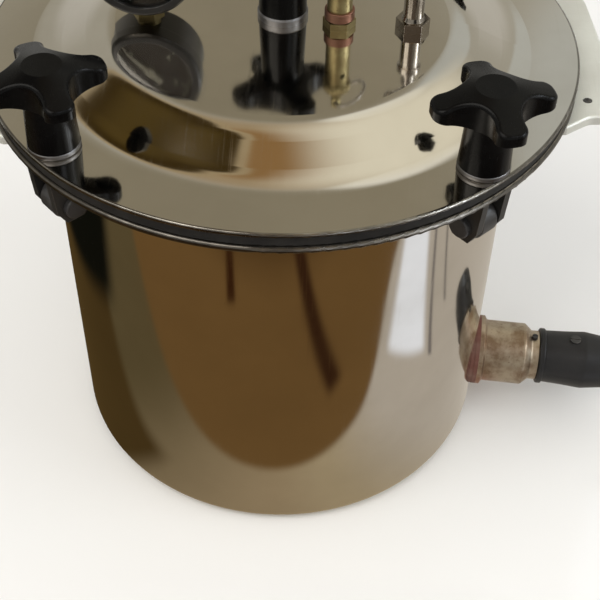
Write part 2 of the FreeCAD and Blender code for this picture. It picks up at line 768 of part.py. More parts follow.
def lid_shell():
    """The pressed lid: a flat rim, a rounded shoulder and a raised flat top."""
    step = size.lid_thick
    edge = size.shoulder_radius
    flat = size.plateau_radius
    body = turned("lid_pressing", [
        (0, LID_TOP), (0, PLATEAU_UNDER), (flat - 0.7, PLATEAU_UNDER), (edge - 0.7, LID_UNDER),
        (size.flange_radius, LID_UNDER), (size.flange_radius, LID_FLANGE), (edge, LID_FLANGE),
        (flat, LID_TOP),
    ])
    rounded(body, "shoulder_outside", size.shoulder_round, rings((edge, LID_FLANGE), (flat, LID_TOP)))
    rounded(body, "shoulder_inside", size.shoulder_round - step, rings(
        (edge - 0.7, LID_UNDER), (flat - 0.7, PLATEAU_UNDER),
    ))
    rounded(body, "lid_edge", size.lid_edge_round, rings(
        (size.flange_radius, LID_FLANGE), (size.flange_radius, LID_UNDER),
    ))
    drill_for_studs(body, "lid_stud_hole", LID_FLANGE + 1, 8)
    for number, (across, back) in enumerate(fitting_places()):
        hole = [(circle, (size.fitting_hole, across, back))]
        pocket(body, f"lid_hole_{number}", 8, LID_TOP + 1, hole)
    pocket(body, "lid_knob_hole", 8, LID_TOP + 1, [(circle, (4.1,))])
    keep(body, "lid_shell")


def fitting_places():
    """Where the gauge, the safety valve and the exhaust cock pass through the lid."""
    return [(size.gauge_x, 0), (size.valve_x, size.valve_y), (size.petcock_x, size.petcock_y)]


def lid_gasket():
    body = new_body("lid_gasket")
    padded(body, "gasket_ring", size.gasket_thick, size.flange_top, draw=[
        (circle, (size.gasket_outer,)), (circle, (size.gasket_inner,)),
    ])
    drill_for_studs(body, "gasket_hole", LID_UNDER, size.gasket_thick, size.stud_hole + 0.5)
    rounded(body, "gasket_edges", 1, rings(
        (size.gasket_outer, LID_UNDER), (size.gasket_outer, size.flange_top),
    ))
    keep(body)


def fitting_nuts():
    """The three identical nuts under the lid that hold the gauge, valve and cock."""
    nuts = []
    for number, (across, back) in enumerate(fitting_places()):
        nut = hexagon(f"fitting_nut_blank_{number}", 16, 5)
        bore = place(rod(f"fitting_nut_bore_{number}", size.fitting_shank, 9), 0, 0, -2)
        made = cut(f"fitting_nut_{number}", nut, bore)
        nuts.append(place(made, across, back, PLATEAU_UNDER - 5))
    keep(group("fitting_nuts", nuts))


def star_head(name, stem_length, bore_radius, bore_depth):
    """A moulded star knob, stem downwards: a domed four-lobed head, cored lobes, a blind bore."""
    top = stem_length + size.head_thick
    tip = top - size.head_droop
    body = turned(name, [
        (bore_radius, 0), (size.stem_base, 0), (size.stem_top, stem_length),
        (size.head_radius, stem_length + size.head_rise), (size.head_radius, tip), (9, top),
        (0, top), (0, bore_depth), (bore_radius, bore_depth),
    ])
    across = size.scallop_circle * cosine(45)
    scallop = (circle, (size.scallop_radius, across, across))
    pocket(body, f"{name}_scallop", size.head_thick, top, [scallop], count=4)
    rounded(body, f"{name}_tips", size.tip_round, lambda edge: (
        isinstance(edge.Curve, Part.Line)
        and abs(edge.tangentAt(edge.FirstParameter).z) > 0.99
        and math.hypot(edge.CenterOfMass.x, edge.CenterOfMass.y) > size.head_radius.value - 1
    ))
    rounded(body, f"{name}_crown", size.crown_round, lambda edge: (
        edge.BoundBox.ZMin > formula(tip).value - 0.01
        and edge.BoundBox.DiagonalLength > 2
        and math.hypot(edge.CenterOfMass.x, edge.CenterOfMass.y) > 12
    ))
    sketch = sketch_on(body, f"{name}_core_sketch", "XY_Plane", stem_length)
    circle(sketch, size.core_radius, size.core_circle)
    hollow = body.newObject("PartDesign::Pocket", f"{name}_core")
    hollow.Profile = sketch
    hollow.Reversed = True
    bind(hollow, "Length", size.core_depth)
    doc.recompute()
    around(body, hollow, 4)
    return body


def star_knobs():
    """The four clamp knobs, each with its threaded insert and its plated washer."""
    turns = (35, 12, 28, 16)
    for index, turn in enumerate(turns):
        number = index + 1
        across, back = at_clamp(index)
        foot = LID_FLANGE + size.washer_thick
        knob = star_head(
            f"star_knob_{number}", size.stem_length, size.insert_radius, size.insert_length,
        )
        keep(place(knob, across, back, foot, about_z(turn)))
        bush = rod(f"insert_blank_{number}", size.insert_radius, size.insert_length)
        bore = rod(f"insert_bore_{number}", size.stud_radius + size.running_gap, size.insert_length)
        keep(place(cut(f"knob_insert_{number}", bush, bore), across, back, foot))
        washer = turned(f"knob_washer_{number}", [
            (size.stud_radius + 0.5, 0), (size.washer_radius, 0),
            (size.washer_radius, size.washer_thick), (size.stud_radius + 0.5, size.washer_thick),
        ])
        rounded(washer, f"washer_round_{number}", 1, rings(
            (size.washer_radius, 0), (size.washer_radius, size.washer_thick),
        ))
        keep(place(washer, across, back, LID_FLANGE))


def lid_knob():
    """The lifting knob in the middle of the lid, with its ferrule, stud and nut."""
    bore = size.lid_stud_radius
    foot = LID_TOP + size.ferrule_height
    knob = star_head("lid_knob", size.lid_knob_stem, bore, size.lid_knob_stem - 7.5)
    keep(place(knob, 0, 0, foot, about_z(31.4)))
    ferrule = turned("lid_knob_ferrule", [
        (bore, 0), (size.stem_base + 0.6, 0), (size.stem_base + 0.6, size.ferrule_height - 1),
        (size.stem_base, size.ferrule_height), (bore, size.ferrule_height),
    ])
    keep(place(ferrule, 0, 0, LID_TOP))
    stud_low = PLATEAU_UNDER - size.stud_below
    stud = rod("lid_knob_stud", bore, foot + size.lid_knob_stem - 8 - stud_low)
    keep(place(stud, 0, 0, stud_low))
    nut = hexagon("lid_nut_blank", 13, size.lid_nut_height)
    nut_bore = place(rod("lid_nut_bore", bore, size.lid_nut_height + 4), 0, 0, -2)
    keep(place(cut("lid_knob_nut", nut, nut_bore), 0, 0, PLATEAU_UNDER - size.lid_nut_height))


# ------------------------------------------------------------------ pressure gauge


def facing(item, label=None):
    """A gauge piece built from back to front along its own Z, turned to face the user."""
    return keep(place(item, size.gauge_x, 13, LID_TOP + size.gauge_height, FACING_FRONT), label)


def gauge():
    outer = size.gauge_radius
    depth = size.gauge_depth
    case = turned("gauge_cup", [
        (0, 0), (outer - 3, 0), (outer, 3), (outer, depth), (outer - 1.5, depth),
        (outer - 1.5, 3.5), (outer - 4, 1.5), (0, 1.5),
    ])
    way_in = place(rod("gauge_case_hole", 6.1, 12), 0, 18 - outer * 2, 13, FreeCAD.Rotation(X_WAY, -90))
    facing(cut("gauge_case", case, way_in))
    bezel = turned("gauge_bezel", [
        (outer, depth - 6), (outer + 1.8, depth - 6), (outer + 1.8, depth + 1.5),
        (outer + 0.3, depth + 3), (outer - 3, depth + 3), (outer - 3, depth + 1.6),
        (outer, depth + 1.6),
    ])
    rounded(bezel, "bezel_round", 0.8, rings(
        (outer + 1.8, depth + 1.5), (outer + 0.3, depth + 3),
    ))
    facing(bezel)
    glass = place(rod("gauge_glass_disc", outer - 0.05, 1.6), 0, 0, depth)
    facing(group("gauge_glass", [glass]))
    dial = rod("gauge_dial_disc", outer - 1.6, 0.8)
    arbor_hole = place(rod("gauge_dial_hole", 1.6, 3), 0, 0, -1)
    made = place(cut("gauge_dial_plate", dial, arbor_hole), 0, 0, depth - 6)
    facing(group("gauge_dial", [made]))
    gauge_pointer(depth)
    gauge_works()


def gauge_pointer(depth):
    """The needle, its hub and the arbor behind the dial, at zero on the scale."""
    needle = new_body("pointer_needle")
    padded(needle, "needle_pad", 0.6, depth - 4.2, draw=[
        (outline, ([(-1.6, -8), (1.6, -8), (1.2, 0), (0.35, 19), (-0.35, 19), (-1.2, 0)],)),
    ])
    hub = place(rod("pointer_hub", 2.6, 1.6), 0, 0, depth - 4.6)
    arbor = place(rod("pointer_arbor", 1.1, depth - 14), 0, 0, 10)
    pointer = fused("gauge_pointer_metal", needle, hub, arbor)
    place(pointer, turn=FreeCAD.Rotation(Z_WAY, 135))
    facing(group("gauge_pointer", [pointer]))


def gauge_works():
    """The pressure tube behind the dial and the threaded stem that feeds it."""
    tube = primitive("Torus", "bourdon_ring", Radius1=15.5, Radius2=2.2)
    tube.Angle3 = 250
    place(tube, 0, 0, 13, FreeCAD.Rotation(Z_WAY, -90))
    facing(group("bourdon_tube", [tube]))
    low = -(size.lid_thick + 9)
    top = size.gauge_height - 19
    stem = turned("gauge_stem_rod", [
        (0, low), (size.fitting_shank, low), (size.fitting_shank, 0), (6, 0), (6, top), (0, top),
    ])
    flats = hexagon("gauge_stem_hex", 14, 4.5)
    keep(place(fused("gauge_stem", stem, flats), size.gauge_x, 0, LID_TOP))


# ------------------------------------------------------------------ safety valve

VALVE_SEAT = 9
VALVE_TOP = 34
VALVE_CAP = 41


def safety_valve():
    """A spring-loaded brass relief valve with a pull ring."""
    here = {"x": size.valve_x, "y": size.valve_y, "z": LID_TOP}
    low = -(size.lid_thick + 9)
    column = turned("valve_column", [
        (2.2, low), (size.fitting_shank, low), (size.fitting_shank, 0), (6.4, 0),
        (6.4, VALVE_TOP), (4.8, VALVE_TOP), (4.8, VALVE_SEAT), (2.2, VALVE_SEAT),
    ])
    flats = hexagon("valve_flats", 14.5, 4)
    flats_bore = place(rod("valve_flats_bore", 5.5, 8), 0, 0, -2)
    ports = [
        place(rod(f"valve_port_{turn}", 1.5, 16), 0, 0, 28, about_z(turn, ALONG_X))
        for turn in (30, 120, 210, 300)
    ]
    metal = fused("valve_metal", column, cut("valve_hexagon", flats, flats_bore))
    keep(place(cut("valve_body", metal, *ports), **here))
    collar = turned("valve_collar", [(6.4, 4.3), (7.6, 4.3), (7.6, 9.5), (6.4, 9.5)])
    rounded(collar, "valve_collar_round", 0.5, rings((7.6, 4.3), (7.6, 9.5)))
    keep(place(collar, **here))
    cap = turned("valve_cap", [
        (2.3, VALVE_TOP), (6.9, VALVE_TOP), (6.9, VALVE_CAP - 2), (5.4, VALVE_CAP), (2.3, VALVE_CAP),
    ])
    keep(place(cap, **here))
    spindle = turned("valve_rod", [
        (0, VALVE_SEAT), (4.4, VALVE_SEAT), (4.4, VALVE_SEAT + 3), (2, VALVE_SEAT + 3),
        (2, VALVE_CAP + 3), (2.6, VALVE_CAP + 4), (2.6, VALVE_CAP + 9), (1.6, VALVE_CAP + 10),
        (0, VALVE_CAP + 10),
    ])
    eye = place(rod("spindle_eye", 1.5, 12), 0, 6, VALVE_CAP + 6.5, FACING_FRONT)
    keep(place(cut("valve_spindle", spindle, eye), **here))
    valve_spring(here)
    ring = primitive("Torus", "valve_ring", Radius1=9, Radius2=0.8)
    droop = 35
    place(
        ring, size.valve_x + 9 * cosine(droop), size.valve_y,
        LID_TOP + VALVE_CAP + 6.5 - 9 * sine(droop), FreeCAD.Rotation(Y_WAY, droop),
    )
    keep(ring)


def valve_spring(here):
    """The coil between the valve's disc and its cap."""
    low, high = VALVE_SEAT + 3.5, VALVE_TOP - 0.5
    coil = doc.addObject("Part::Helix", "spring_line")
    coil.Pitch = 3.4
    coil.Height = high - low - 0.5
    coil.Radius = 3.4
    section = primitive("Circle", "spring_wire", Radius=0.5)
    section.Placement = FreeCAD.Placement(VECTOR(3.4, 0, 0), FreeCAD.Rotation(X_WAY, 90))
    spring = doc.addObject("Part::Sweep", "spring_sweep")
    spring.Sections = [section]
    spring.Spine = coil
    spring.Solid = True
    spring.Frenet = True
    place(spring, 0, 0, low + 0.25)
    keep(place(group("valve_spring", [spring]), **here))


# ------------------------------------------------------------------ exhaust cock


def petcock():
    """The steam-release cock: a plated body with a side spout and a T-handled plug."""
    here = {"x": size.petcock_x, "y": size.petcock_y, "z": LID_TOP}
    low = -(size.lid_thick + 9)
    body_top = 26
    plug_low = 10
    column = turned("petcock_column", [
        (0, low), (size.fitting_shank, low), (size.fitting_shank, 0), (6, 0), (6, 5), (5.2, 7),
        (5.2, body_top - 4), (6.2, body_top - 3), (6.2, body_top), (0, body_top),
    ])
    flats = hexagon("petcock_flats", 15, 5)
    spout_angle = 70
    spout_turn = about_z(spout_angle, ALONG_X)
    spout = place(rod("petcock_spout", 3, 15), 0, 0, 14, spout_turn)
    bead = rod("petcock_bead", 3.8, 3)
    place(bead, 12 * cosine(spout_angle), 12 * sine(spout_angle), 14, spout_turn)
    seat = place(rod("petcock_seat", 3.3, 40), 0, 0, plug_low)
    spout_bore = place(rod("petcock_spout_bore", 1.6, 20), 0, 0, 14, spout_turn)
    metal = fused("petcock_metal", column, flats, spout, bead)
    keep(place(cut("petcock_body", metal, seat, spout_bore), **here))
    stem = turned("petcock_stem", [
        (0, plug_low + 0.2), (3.25, plug_low + 0.2), (3.25, body_top + 0.3), (3.6, body_top + 0.3),
        (3.6, 34), (2.6, 35.5), (2.6, 40), (1.6, 41.2), (0, 41.2),
    ])
    bar = place(rod("petcock_bar", 1.6, 24), 0, -12, 38, FreeCAD.Rotation(X_WAY, -90))
    balls = [
        place(primitive("Sphere", f"petcock_ball_{side + 1}", Radius=2.7), 0, 12 * side, 38)
        for side in (-1, 1)
    ]
    port = place(rod("petcock_port", 1.5, 10), -5, 0, 14, ALONG_X)
    handle = cut("petcock_handle_metal", fused("petcock_handle_blank", stem, bar, *balls), port)
    place(handle, turn=about_z(-51))
    keep(place(group("petcock_handle", [handle]), **here))


# ------------------------------------------------------------------ checks and files


def report_sizes(item):
    solids = len(item.Shape.Solids)
    print(f"{item.Label:22s} {solids} solid(s)  {item.Shape.Volume / 1000:9.3f} cm3")


def write_files():
    doc.recompute()
    for item in doc.Objects:
        if "Invalid" in item.State or "Error" in item.State:
            raise RuntimeError(f"{item.Name} is {item.State}")
    for item in SUB_PARTS:
        if item.Shape.isNull() or not item.Shape.isValid() or not item.Shape.Solids:
            raise RuntimeError(f"{item.Label} has no valid solid")
    os.makedirs("parts", exist_ok=True)
    for item in SUB_PARTS:
        item.Shape.exportStep(f"parts/{item.Label}.step")
        report_sizes(item)
    print(len(SUB_PARTS), "sub-parts")


for make in (
    vessel_shell, vessel_flange, clamps, handles, heater, plug, trivet, basket, bail,
    lid_shell, lid_gasket, fitting_nuts, star_knobs, lid_knob, gauge, safety_valve, petcock,
):
    make()
write_files()
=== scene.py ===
import json
import math

import bmesh
import bpy
from mathutils import Matrix, Vector


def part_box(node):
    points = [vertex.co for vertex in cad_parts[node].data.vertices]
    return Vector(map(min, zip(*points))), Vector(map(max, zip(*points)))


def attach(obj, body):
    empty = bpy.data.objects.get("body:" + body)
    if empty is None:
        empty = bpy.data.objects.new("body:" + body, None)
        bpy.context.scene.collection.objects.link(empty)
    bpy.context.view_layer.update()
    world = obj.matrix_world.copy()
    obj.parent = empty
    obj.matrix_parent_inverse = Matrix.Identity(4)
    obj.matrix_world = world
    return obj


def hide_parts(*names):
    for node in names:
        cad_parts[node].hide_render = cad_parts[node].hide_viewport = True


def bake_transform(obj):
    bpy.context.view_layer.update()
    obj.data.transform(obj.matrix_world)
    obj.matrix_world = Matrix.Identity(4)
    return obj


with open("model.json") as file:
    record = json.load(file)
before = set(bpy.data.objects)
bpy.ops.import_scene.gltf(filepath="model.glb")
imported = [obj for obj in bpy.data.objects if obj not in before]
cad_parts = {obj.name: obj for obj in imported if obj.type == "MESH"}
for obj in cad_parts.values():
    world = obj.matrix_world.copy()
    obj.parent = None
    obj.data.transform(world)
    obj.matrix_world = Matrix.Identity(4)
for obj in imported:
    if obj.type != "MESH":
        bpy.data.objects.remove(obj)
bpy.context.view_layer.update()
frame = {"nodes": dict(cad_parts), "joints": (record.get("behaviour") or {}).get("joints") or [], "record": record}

# A bench-top autoclave. The CAD nodes carry procedural finishes. Small made details stand on
# them or in place of them: threads, weld beads, moulding lines, scale marks and slots.

MM = 0.001
UP = Vector((0, 0, 1))
LID_BODY, POT_BODY = "lid", "vessel"

NODES = frame["nodes"]
SLOT_OF = {part["node"]: part["material_slot"] for part in frame["record"]["subparts"]}
JOINTS = {joint["name"]: joint for joint in frame["joints"]}
JOINT_AT = {name: Vector(joint.get("pos_m", (0, 0, 0))) for name, joint in JOINTS.items()}


def centre_of(node):
    low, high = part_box(node)
    return (low + high) / 2


def on_circle(radius, degrees, height):
    angle = math.radians(degrees)
    return Vector((radius * math.cos(angle), radius * math.sin(angle), height))


INLET_AXIS = Vector(JOINTS["plug_pull"]["axis"])
INLET_FOOT = Vector((0, 0, centre_of("heater_shroud").z))
GAUGE_AT = JOINT_AT["pointer_turn"]
VALVE_AT = centre_of("valve_body")
COCK_AT = JOINT_AT["petcock_turn"]
POT_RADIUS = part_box("vessel_shell")[1].y
FLANGE_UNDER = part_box("vessel_flange")[0].z
# Past this radius the outer edges of the lid and the flange get painted shade, by the clamped joint.
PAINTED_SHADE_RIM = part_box("vessel_flange")[1].x - 1.2 * MM
SHROUD_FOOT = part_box("heater_shroud")[0].x
KNOB_CIRCLE = Vector(JOINT_AT["knob_1_turn"][:2]).length
CLAMP_ANGLES = [
    math.degrees(math.atan2(JOINT_AT[f"knob_{n}_turn"].y, JOINT_AT[f"knob_{n}_turn"].x))
    for n in range(1, 5)
]


# ------------------------------------------------------------------ shader building

RING_DRIFT = 1.4  # how much lathe rings change on the way round
BEVEL_SAMPLES = 4


class Tree:
    """Short calls for making and joining shader nodes."""

    def __init__(self, tree):
        self.tree = tree
        self.tree.nodes.clear()

    def add(self, kind, feeds=None, **settings):
        made = self.tree.nodes.new(kind)
        for name, value in settings.items():
            setattr(made, name, value)
        for name, value in (feeds or {}).items():
            self.feed(made.inputs[name], value)
        return made

    def feed(self, socket, value):
        if isinstance(value, bpy.types.NodeSocket):
            self.tree.links.new(value, socket)
        else:
            socket.default_value = value

    def calc(self, kind, *values):
        return self.add("ShaderNodeMath", dict(enumerate(values)), operation=kind).outputs[0]

    def total(self, *values):
        """All the values added together."""
        result = values[0]
        for value in values[1:]:
            result = self.calc("ADD", result, value)
        return result

    def times(self, one, other):
        return self.calc("MULTIPLY", one, other)

    def plus(self, base, *shares):
        """base with (value, amount) pairs added to it."""
        return self.total(base, *(self.times(value, amount) for value, amount in shares))

    def parts(self, vector):
        """The X, Y and Z of a vector."""
        return tuple(self.add("ShaderNodeSeparateXYZ", {0: vector}).outputs)

    def vector(self, x, y, z):
        return self.add("ShaderNodeCombineXYZ", {0: x, 1: y, 2: z}).outputs[0]

    def ramp(self, value, low, high, start=0.0, end=1.0):
        """value between low and high, eased, as a number from start to end."""
        feeds = {"Value": value, "From Min": low, "From Max": high, "To Min": start, "To Max": end}
        made = self.add("ShaderNodeMapRange", feeds, interpolation_type="SMOOTHSTEP")
        return made.outputs["Result"]

    def mix(self, share, one, other):
        made = self.add("ShaderNodeMix", data_type="RGBA")
        self.feed(made.inputs["Factor"], share)
        self.feed(made.inputs[6], one)
        self.feed(made.inputs[7], other)
        return made.outputs[2]

    def noise(self, where, scale, detail, roughness, seed):
        feeds = {
            "Vector": where, "W": seed, "Scale": scale, "Detail": detail, "Roughness": roughness,
        }
        return self.add("ShaderNodeTexNoise", feeds, noise_dimensions="4D").outputs["Fac"]


class Look(Tree):
    """One finish: a Principled shader fed by its own nodes, in a frame of the piece's own."""

    def __init__(self, name, origin=(0, 0, 0), axis=UP, **sockets):
        self.material = bpy.data.materials.new(name)
        self.material.use_nodes = True
        super().__init__(self.material.node_tree)
        self.shader = self.add("ShaderNodeBsdfPrincipled")
        for socket, value in sockets.items():
            self.shader.inputs[socket.replace("_", " ")].default_value = value
        output = self.add("ShaderNodeOutputMaterial")
        self.tree.links.new(self.shader.outputs[0], output.inputs["Surface"])
        place = self.add("ShaderNodeTexCoord").outputs["Object"]
        turn = Vector(axis).to_track_quat("Z", "Y").to_euler()
        self.here = self.add(
            "ShaderNodeMapping", {"Vector": place, "Location": origin, "Rotation": turn},
            vector_type="TEXTURE",
        ).outputs[0]
        self.heights = []

    def colour(self, value):
        self.feed(self.shader.inputs["Base Color"], value)

    def rough(self, value):
        self.feed(self.shader.inputs["Roughness"], value)

    def metal(self, value):
        self.feed(self.shader.inputs["Metallic"], value)

    def cloud(self, scale, detail=2.0, roughness=0.5, seed=0.0):
        """Noise in the piece's own frame."""
        return self.noise(self.here, scale, detail, roughness, seed)

    def radius(self):
        """Distance from the piece's axis."""
        x, y, _ = self.parts(self.here)
        return self.calc("SQRT", self.total(self.times(x, x), self.times(y, y)))

    def turned(self, fine):
        """Fine rings round the piece's axis, as a lathe or a polishing wheel leaves them."""
        x, y, z = self.parts(self.here)
        radius = self.radius()
        off_axis = self.calc("MAXIMUM", radius, 1e-5)
        across = self.times(self.calc("DIVIDE", x, off_axis), RING_DRIFT)
        back = self.times(self.calc("DIVIDE", y, off_axis), RING_DRIFT)
        where = self.vector(self.times(radius, fine), self.times(z, fine), across)
        return self.noise(where, 1.0, detail=3.0, roughness=0.6, seed=back)

    def stretched(self, scales, seed=0.0, detail=2.0, turn=(0, 0, 0)):
        """Noise drawn out along one way, for brushing and hairlines."""
        where = self.add(
            "ShaderNodeMapping", {"Vector": self.here, "Rotation": turn, "Scale": scales},
        ).outputs[0]
        return self.noise(where, 1.0, detail, roughness=0.6, seed=seed)

    def scratches(self, seed=3.0, keep=0.72, long=25.0, fine=1500.0):
        """Sparse hairline scratches that run several ways."""
        result = None
        ways = (0.2, 0.5, 0.4), (1.1, -0.3, 1.9), (-0.7, 0.9, 2.7)
        for number, turn in enumerate(ways):
            lines = self.stretched((fine, long, long), seed + number, detail=0.0, turn=turn)
            lines = self.ramp(lines, keep, keep + 0.06)
            result = lines if result is None else self.calc("MAXIMUM", result, lines)
        return result

    def raise_by(self, height, metres):
        """Adds a height field, in metres at full value, to the bump."""
        self.heights.append(self.times(height, metres))

    def finish(self, soft_edge=0.0):
        """Joins the heights to the shader, over edges softened by soft_edge metres."""
        normal = None
        if soft_edge:
            bevel = self.add("ShaderNodeBevel", {"Radius": soft_edge}, samples=BEVEL_SAMPLES)
            normal = bevel.outputs[0]
        if self.heights:
            height = self.total(*self.heights)
            bump = self.add("ShaderNodeBump", {"Height": height, "Distance": 1.0, "Strength": 1.0})
            if normal is not None:
                self.feed(bump.inputs["Normal"], normal)
            normal = bump.outputs[0]
        if normal is not None:
            self.feed(self.shader.inputs["Normal"], normal)
        return self.material

    def edges(self, radius):
        """1 where an outside or inside edge is within radius, and 0 on open faces."""
        soft = self.add("ShaderNodeBevel", {"Radius": radius}, samples=BEVEL_SAMPLES).outputs[0]
        flat = self.add("ShaderNodeNewGeometry").outputs["Normal"]
        facing = self.add("ShaderNodeVectorMath", {0: soft, 1: flat}, operation="DOT_PRODUCT")
        away = self.calc("SUBTRACT", 1.0, facing.outputs["Value"])
        return self.ramp(away, 0.02, 0.25)


def tint(red, green, blue):
    return (red, green, blue, 1.0)


def grey(value):
    return tint(value, value, value)


def scaled(colour, share):
    return tint(*(share * part for part in colour[:3]))


# ------------------------------------------------------------------ finishes


def polished(name, colour, shade, rough, rings=2600.0, wave=0.0, soft_edge=0.0, rim=0.0,
             **frame_of):
    """Buffed stainless steel: faint wheel rings, light hairlines, dull smears and dried drops.

    Past the radius rim, by the clamped joint, its colour is darkened with painted shade and it is made duller.
    """
    look = Look(name, Metallic=1.0, **frame_of)
    lines = look.turned(rings)
    smears = look.cloud(11.0, detail=4.0, roughness=0.62, seed=2.0)
    film = look.ramp(smears, 0.42, 0.72)
    hairs = look.scratches()
    drops = look.add(
        "ShaderNodeTexVoronoi", {"Vector": look.here, "Scale": 95.0, "Randomness": 1.0},
        feature="F1",
    ).outputs["Distance"]
    dried = look.ramp(drops, 0.05, 0.11, 1.0, 0.0)
    splashed = look.ramp(look.cloud(6.0, detail=1.0, seed=7.0), 0.52, 0.66)
    wet = look.times(dried, splashed)
    ringed = look.ramp(lines, 0.3, 0.8)
    roughness = look.plus(rough, (film, 0.05), (ringed, 0.02), (hairs, 0.05), (wet, 0.09))
    base = look.mix(look.ramp(smears, 0.3, 0.75), colour, shade)
    base = look.mix(look.times(wet, 0.3), base, shade)
    if rim:
        # Painted shade: past the rim, by the joint, the colour darkens; the same mask also makes it rougher.
        outside = look.ramp(look.radius(), rim - 0.3 * MM, rim + 0.3 * MM)
        patchy = look.cloud(60.0, detail=3.0, roughness=0.6, seed=9.0)
        painted_shade_and_dull = look.times(outside, look.ramp(patchy, 0.3, 0.7, 0.75, 1.0))
        base = look.mix(painted_shade_and_dull, base, scaled(shade, 0.22))
        roughness = look.plus(roughness, (painted_shade_and_dull, 0.16))
    look.rough(roughness)
    look.colour(base)
    look.raise_by(lines, 5e-8)
    if wave:
        look.raise_by(look.cloud(16.0, detail=1.0, roughness=0.4, seed=5.0), wave)
    return look.finish(soft_edge)


def brushed(name, colour, shade, rough=0.3, turned=0.0, shine=1.0, **frame_of):
    """Satin steel with its grain drawn one way, or in rings where it is turned."""
    look = Look(name, Metallic=shine, **frame_of)
    grain = look.turned(turned) if turned else look.stretched((90, 2400, 2400))
    cloud = look.cloud(24.0, detail=3.0, roughness=0.6, seed=1.0)
    hairs = look.scratches(seed=9.0, keep=0.69)
    look.colour(look.mix(look.ramp(cloud, 0.3, 0.75), colour, shade))
    look.rough(look.plus(
        rough, (look.ramp(grain, 0.3, 0.75), 0.14), (cloud, 0.08), (hairs, 0.12),
    ))
    look.raise_by(grain, 1.2e-6)
    return look.finish(soft_edge=0.2 * MM)


def tarnished(name, clean, stained, dark, rough, bloom=False, **frame_of):
    """Turned brass or worn plating: bright where it is rubbed, stained in clouds and spots.

    With bloom, rust-red staining creeps along its lower side from the seal against the pot.
    """
    look = Look(name, Metallic=1.0, **frame_of)
    lines = look.turned(2200.0)
    cloud = look.cloud(70.0, detail=4.0, roughness=0.65, seed=4.0)
    spots = look.cloud(420.0, detail=2.0, roughness=0.6, seed=8.0)
    worn = look.edges(0.7 * MM)
    base = look.mix(look.ramp(cloud, 0.38, 0.66), clean, stained)
    base = look.mix(look.times(look.ramp(spots, 0.6, 0.75), 0.6), base, dark)
    if bloom:
        _, y, z = look.parts(look.here)
        creep = look.plus(z, (look.calc("SUBTRACT", cloud, 0.5), 30 * MM))
        near_seal = look.ramp(creep, SHROUD_FOOT + 2 * MM, SHROUD_FOOT + 18 * MM, 0.75, 0.0)
        lower_side = look.ramp(y, -9 * MM, 3 * MM, 1.0, 0.12)
        base = look.mix(look.times(near_seal, lower_side), base, tint(0.36, 0.15, 0.10))
    look.colour(look.mix(look.times(worn, 0.5), base, clean))
    look.rough(look.plus(
        rough, (cloud, 0.2), (worn, -0.06), (look.ramp(lines, 0.35, 0.75), 0.08),
    ))
    look.raise_by(lines, 2e-6)
    look.raise_by(spots, -2e-6)
    return look.finish(soft_edge=0.2 * MM)


def moulded(name, colour, worn_colour, shine, rough=0.2, flow=4e-6, **frame_of):
    """Black phenolic moulding: faint flow marks, handling haze, dust and rubbed edges."""
    look = Look(name, Specular_IOR_Level=shine, **frame_of)
    swirl = look.cloud(130.0, detail=3.0, roughness=0.6, seed=1.0)
    haze = look.cloud(38.0, detail=4.0, roughness=0.65, seed=6.0)
    specks = look.ramp(look.cloud(1500.0, detail=1.0, seed=2.0), 0.69, 0.73)
    dust = look.times(specks, look.ramp(haze, 0.45, 0.65))
    worn = look.times(look.edges(0.9 * MM), look.ramp(haze, 0.35, 0.7))
    hairs = look.scratches(seed=4.0, long=60.0, fine=2200.0)
    base = look.mix(look.ramp(haze, 0.35, 0.8), colour, worn_colour)
    base = look.mix(look.times(worn, 0.6), base, scaled(worn_colour, 3))
    look.colour(look.mix(look.times(dust, 0.18), base, tint(0.12, 0.115, 0.10)))
    look.rough(look.plus(
        rough, (look.ramp(haze, 0.35, 0.75), 0.16), (hairs, 0.1), (worn, 0.12),
    ))
    look.raise_by(swirl, flow)
    return look.finish(soft_edge=0.3 * MM)


def enamelled(name, colour, under, rough=0.38, grain=2.5e-5, **frame_of):
    """Stoved black enamel over iron: orange peel, chips and edges rubbed to the metal."""
    look = Look(name, **frame_of)
    peel = look.cloud(600.0, detail=2.0, roughness=0.55, seed=1.0)
    cloud = look.cloud(60.0, detail=4.0, roughness=0.65, seed=3.0)
    worn = look.times(look.edges(0.8 * MM), look.ramp(cloud, 0.44, 0.6))
    chips = look.ramp(look.cloud(240.0, detail=3.0, roughness=0.7, seed=5.0), 0.7, 0.74)
    bare = look.calc("MAXIMUM", worn, chips)
    base = look.mix(look.ramp(cloud, 0.3, 0.8), colour, scaled(colour, 1.9))
    look.colour(look.mix(bare, base, under))
    look.metal(look.times(bare, 0.9))
    look.rough(look.plus(rough, (cloud, 0.2)))
    look.raise_by(peel, grain)
    look.raise_by(bare, -4e-5)
    return look.finish(soft_edge=0.4 * MM)


def rubber(name, colour, dusty, rough=0.55, **frame_of):
    """Silicone or fibre seal: fine grain, bloom and lint."""
    look = Look(name, **frame_of)
    grain = look.cloud(1400.0, detail=2.0, roughness=0.6, seed=1.0)
    cloud = look.cloud(55.0, detail=4.0, roughness=0.65, seed=2.0)
    look.colour(look.mix(look.ramp(cloud, 0.42, 0.75), colour, dusty))
    look.rough(look.plus(rough, (grain, 0.2)))
    look.raise_by(grain, 2e-5)
    return look.finish(soft_edge=0.2 * MM)


def fired(name, colour, stained, rough=0.62, **frame_of):
    """Unglazed ceramic or printed enamel: speckled, chalky, slightly stained."""
    look = Look(name, **frame_of)
    speck = look.cloud(900.0, detail=3.0, roughness=0.6, seed=1.0)
    cloud = look.cloud(45.0, detail=4.0, roughness=0.6, seed=2.0)
    look.colour(look.mix(look.ramp(cloud, 0.4, 0.8), colour, stained))
    look.rough(look.plus(rough, (speck, 0.15)))
    look.raise_by(speck, 1.2e-5)
    return look.finish(soft_edge=0.2 * MM)


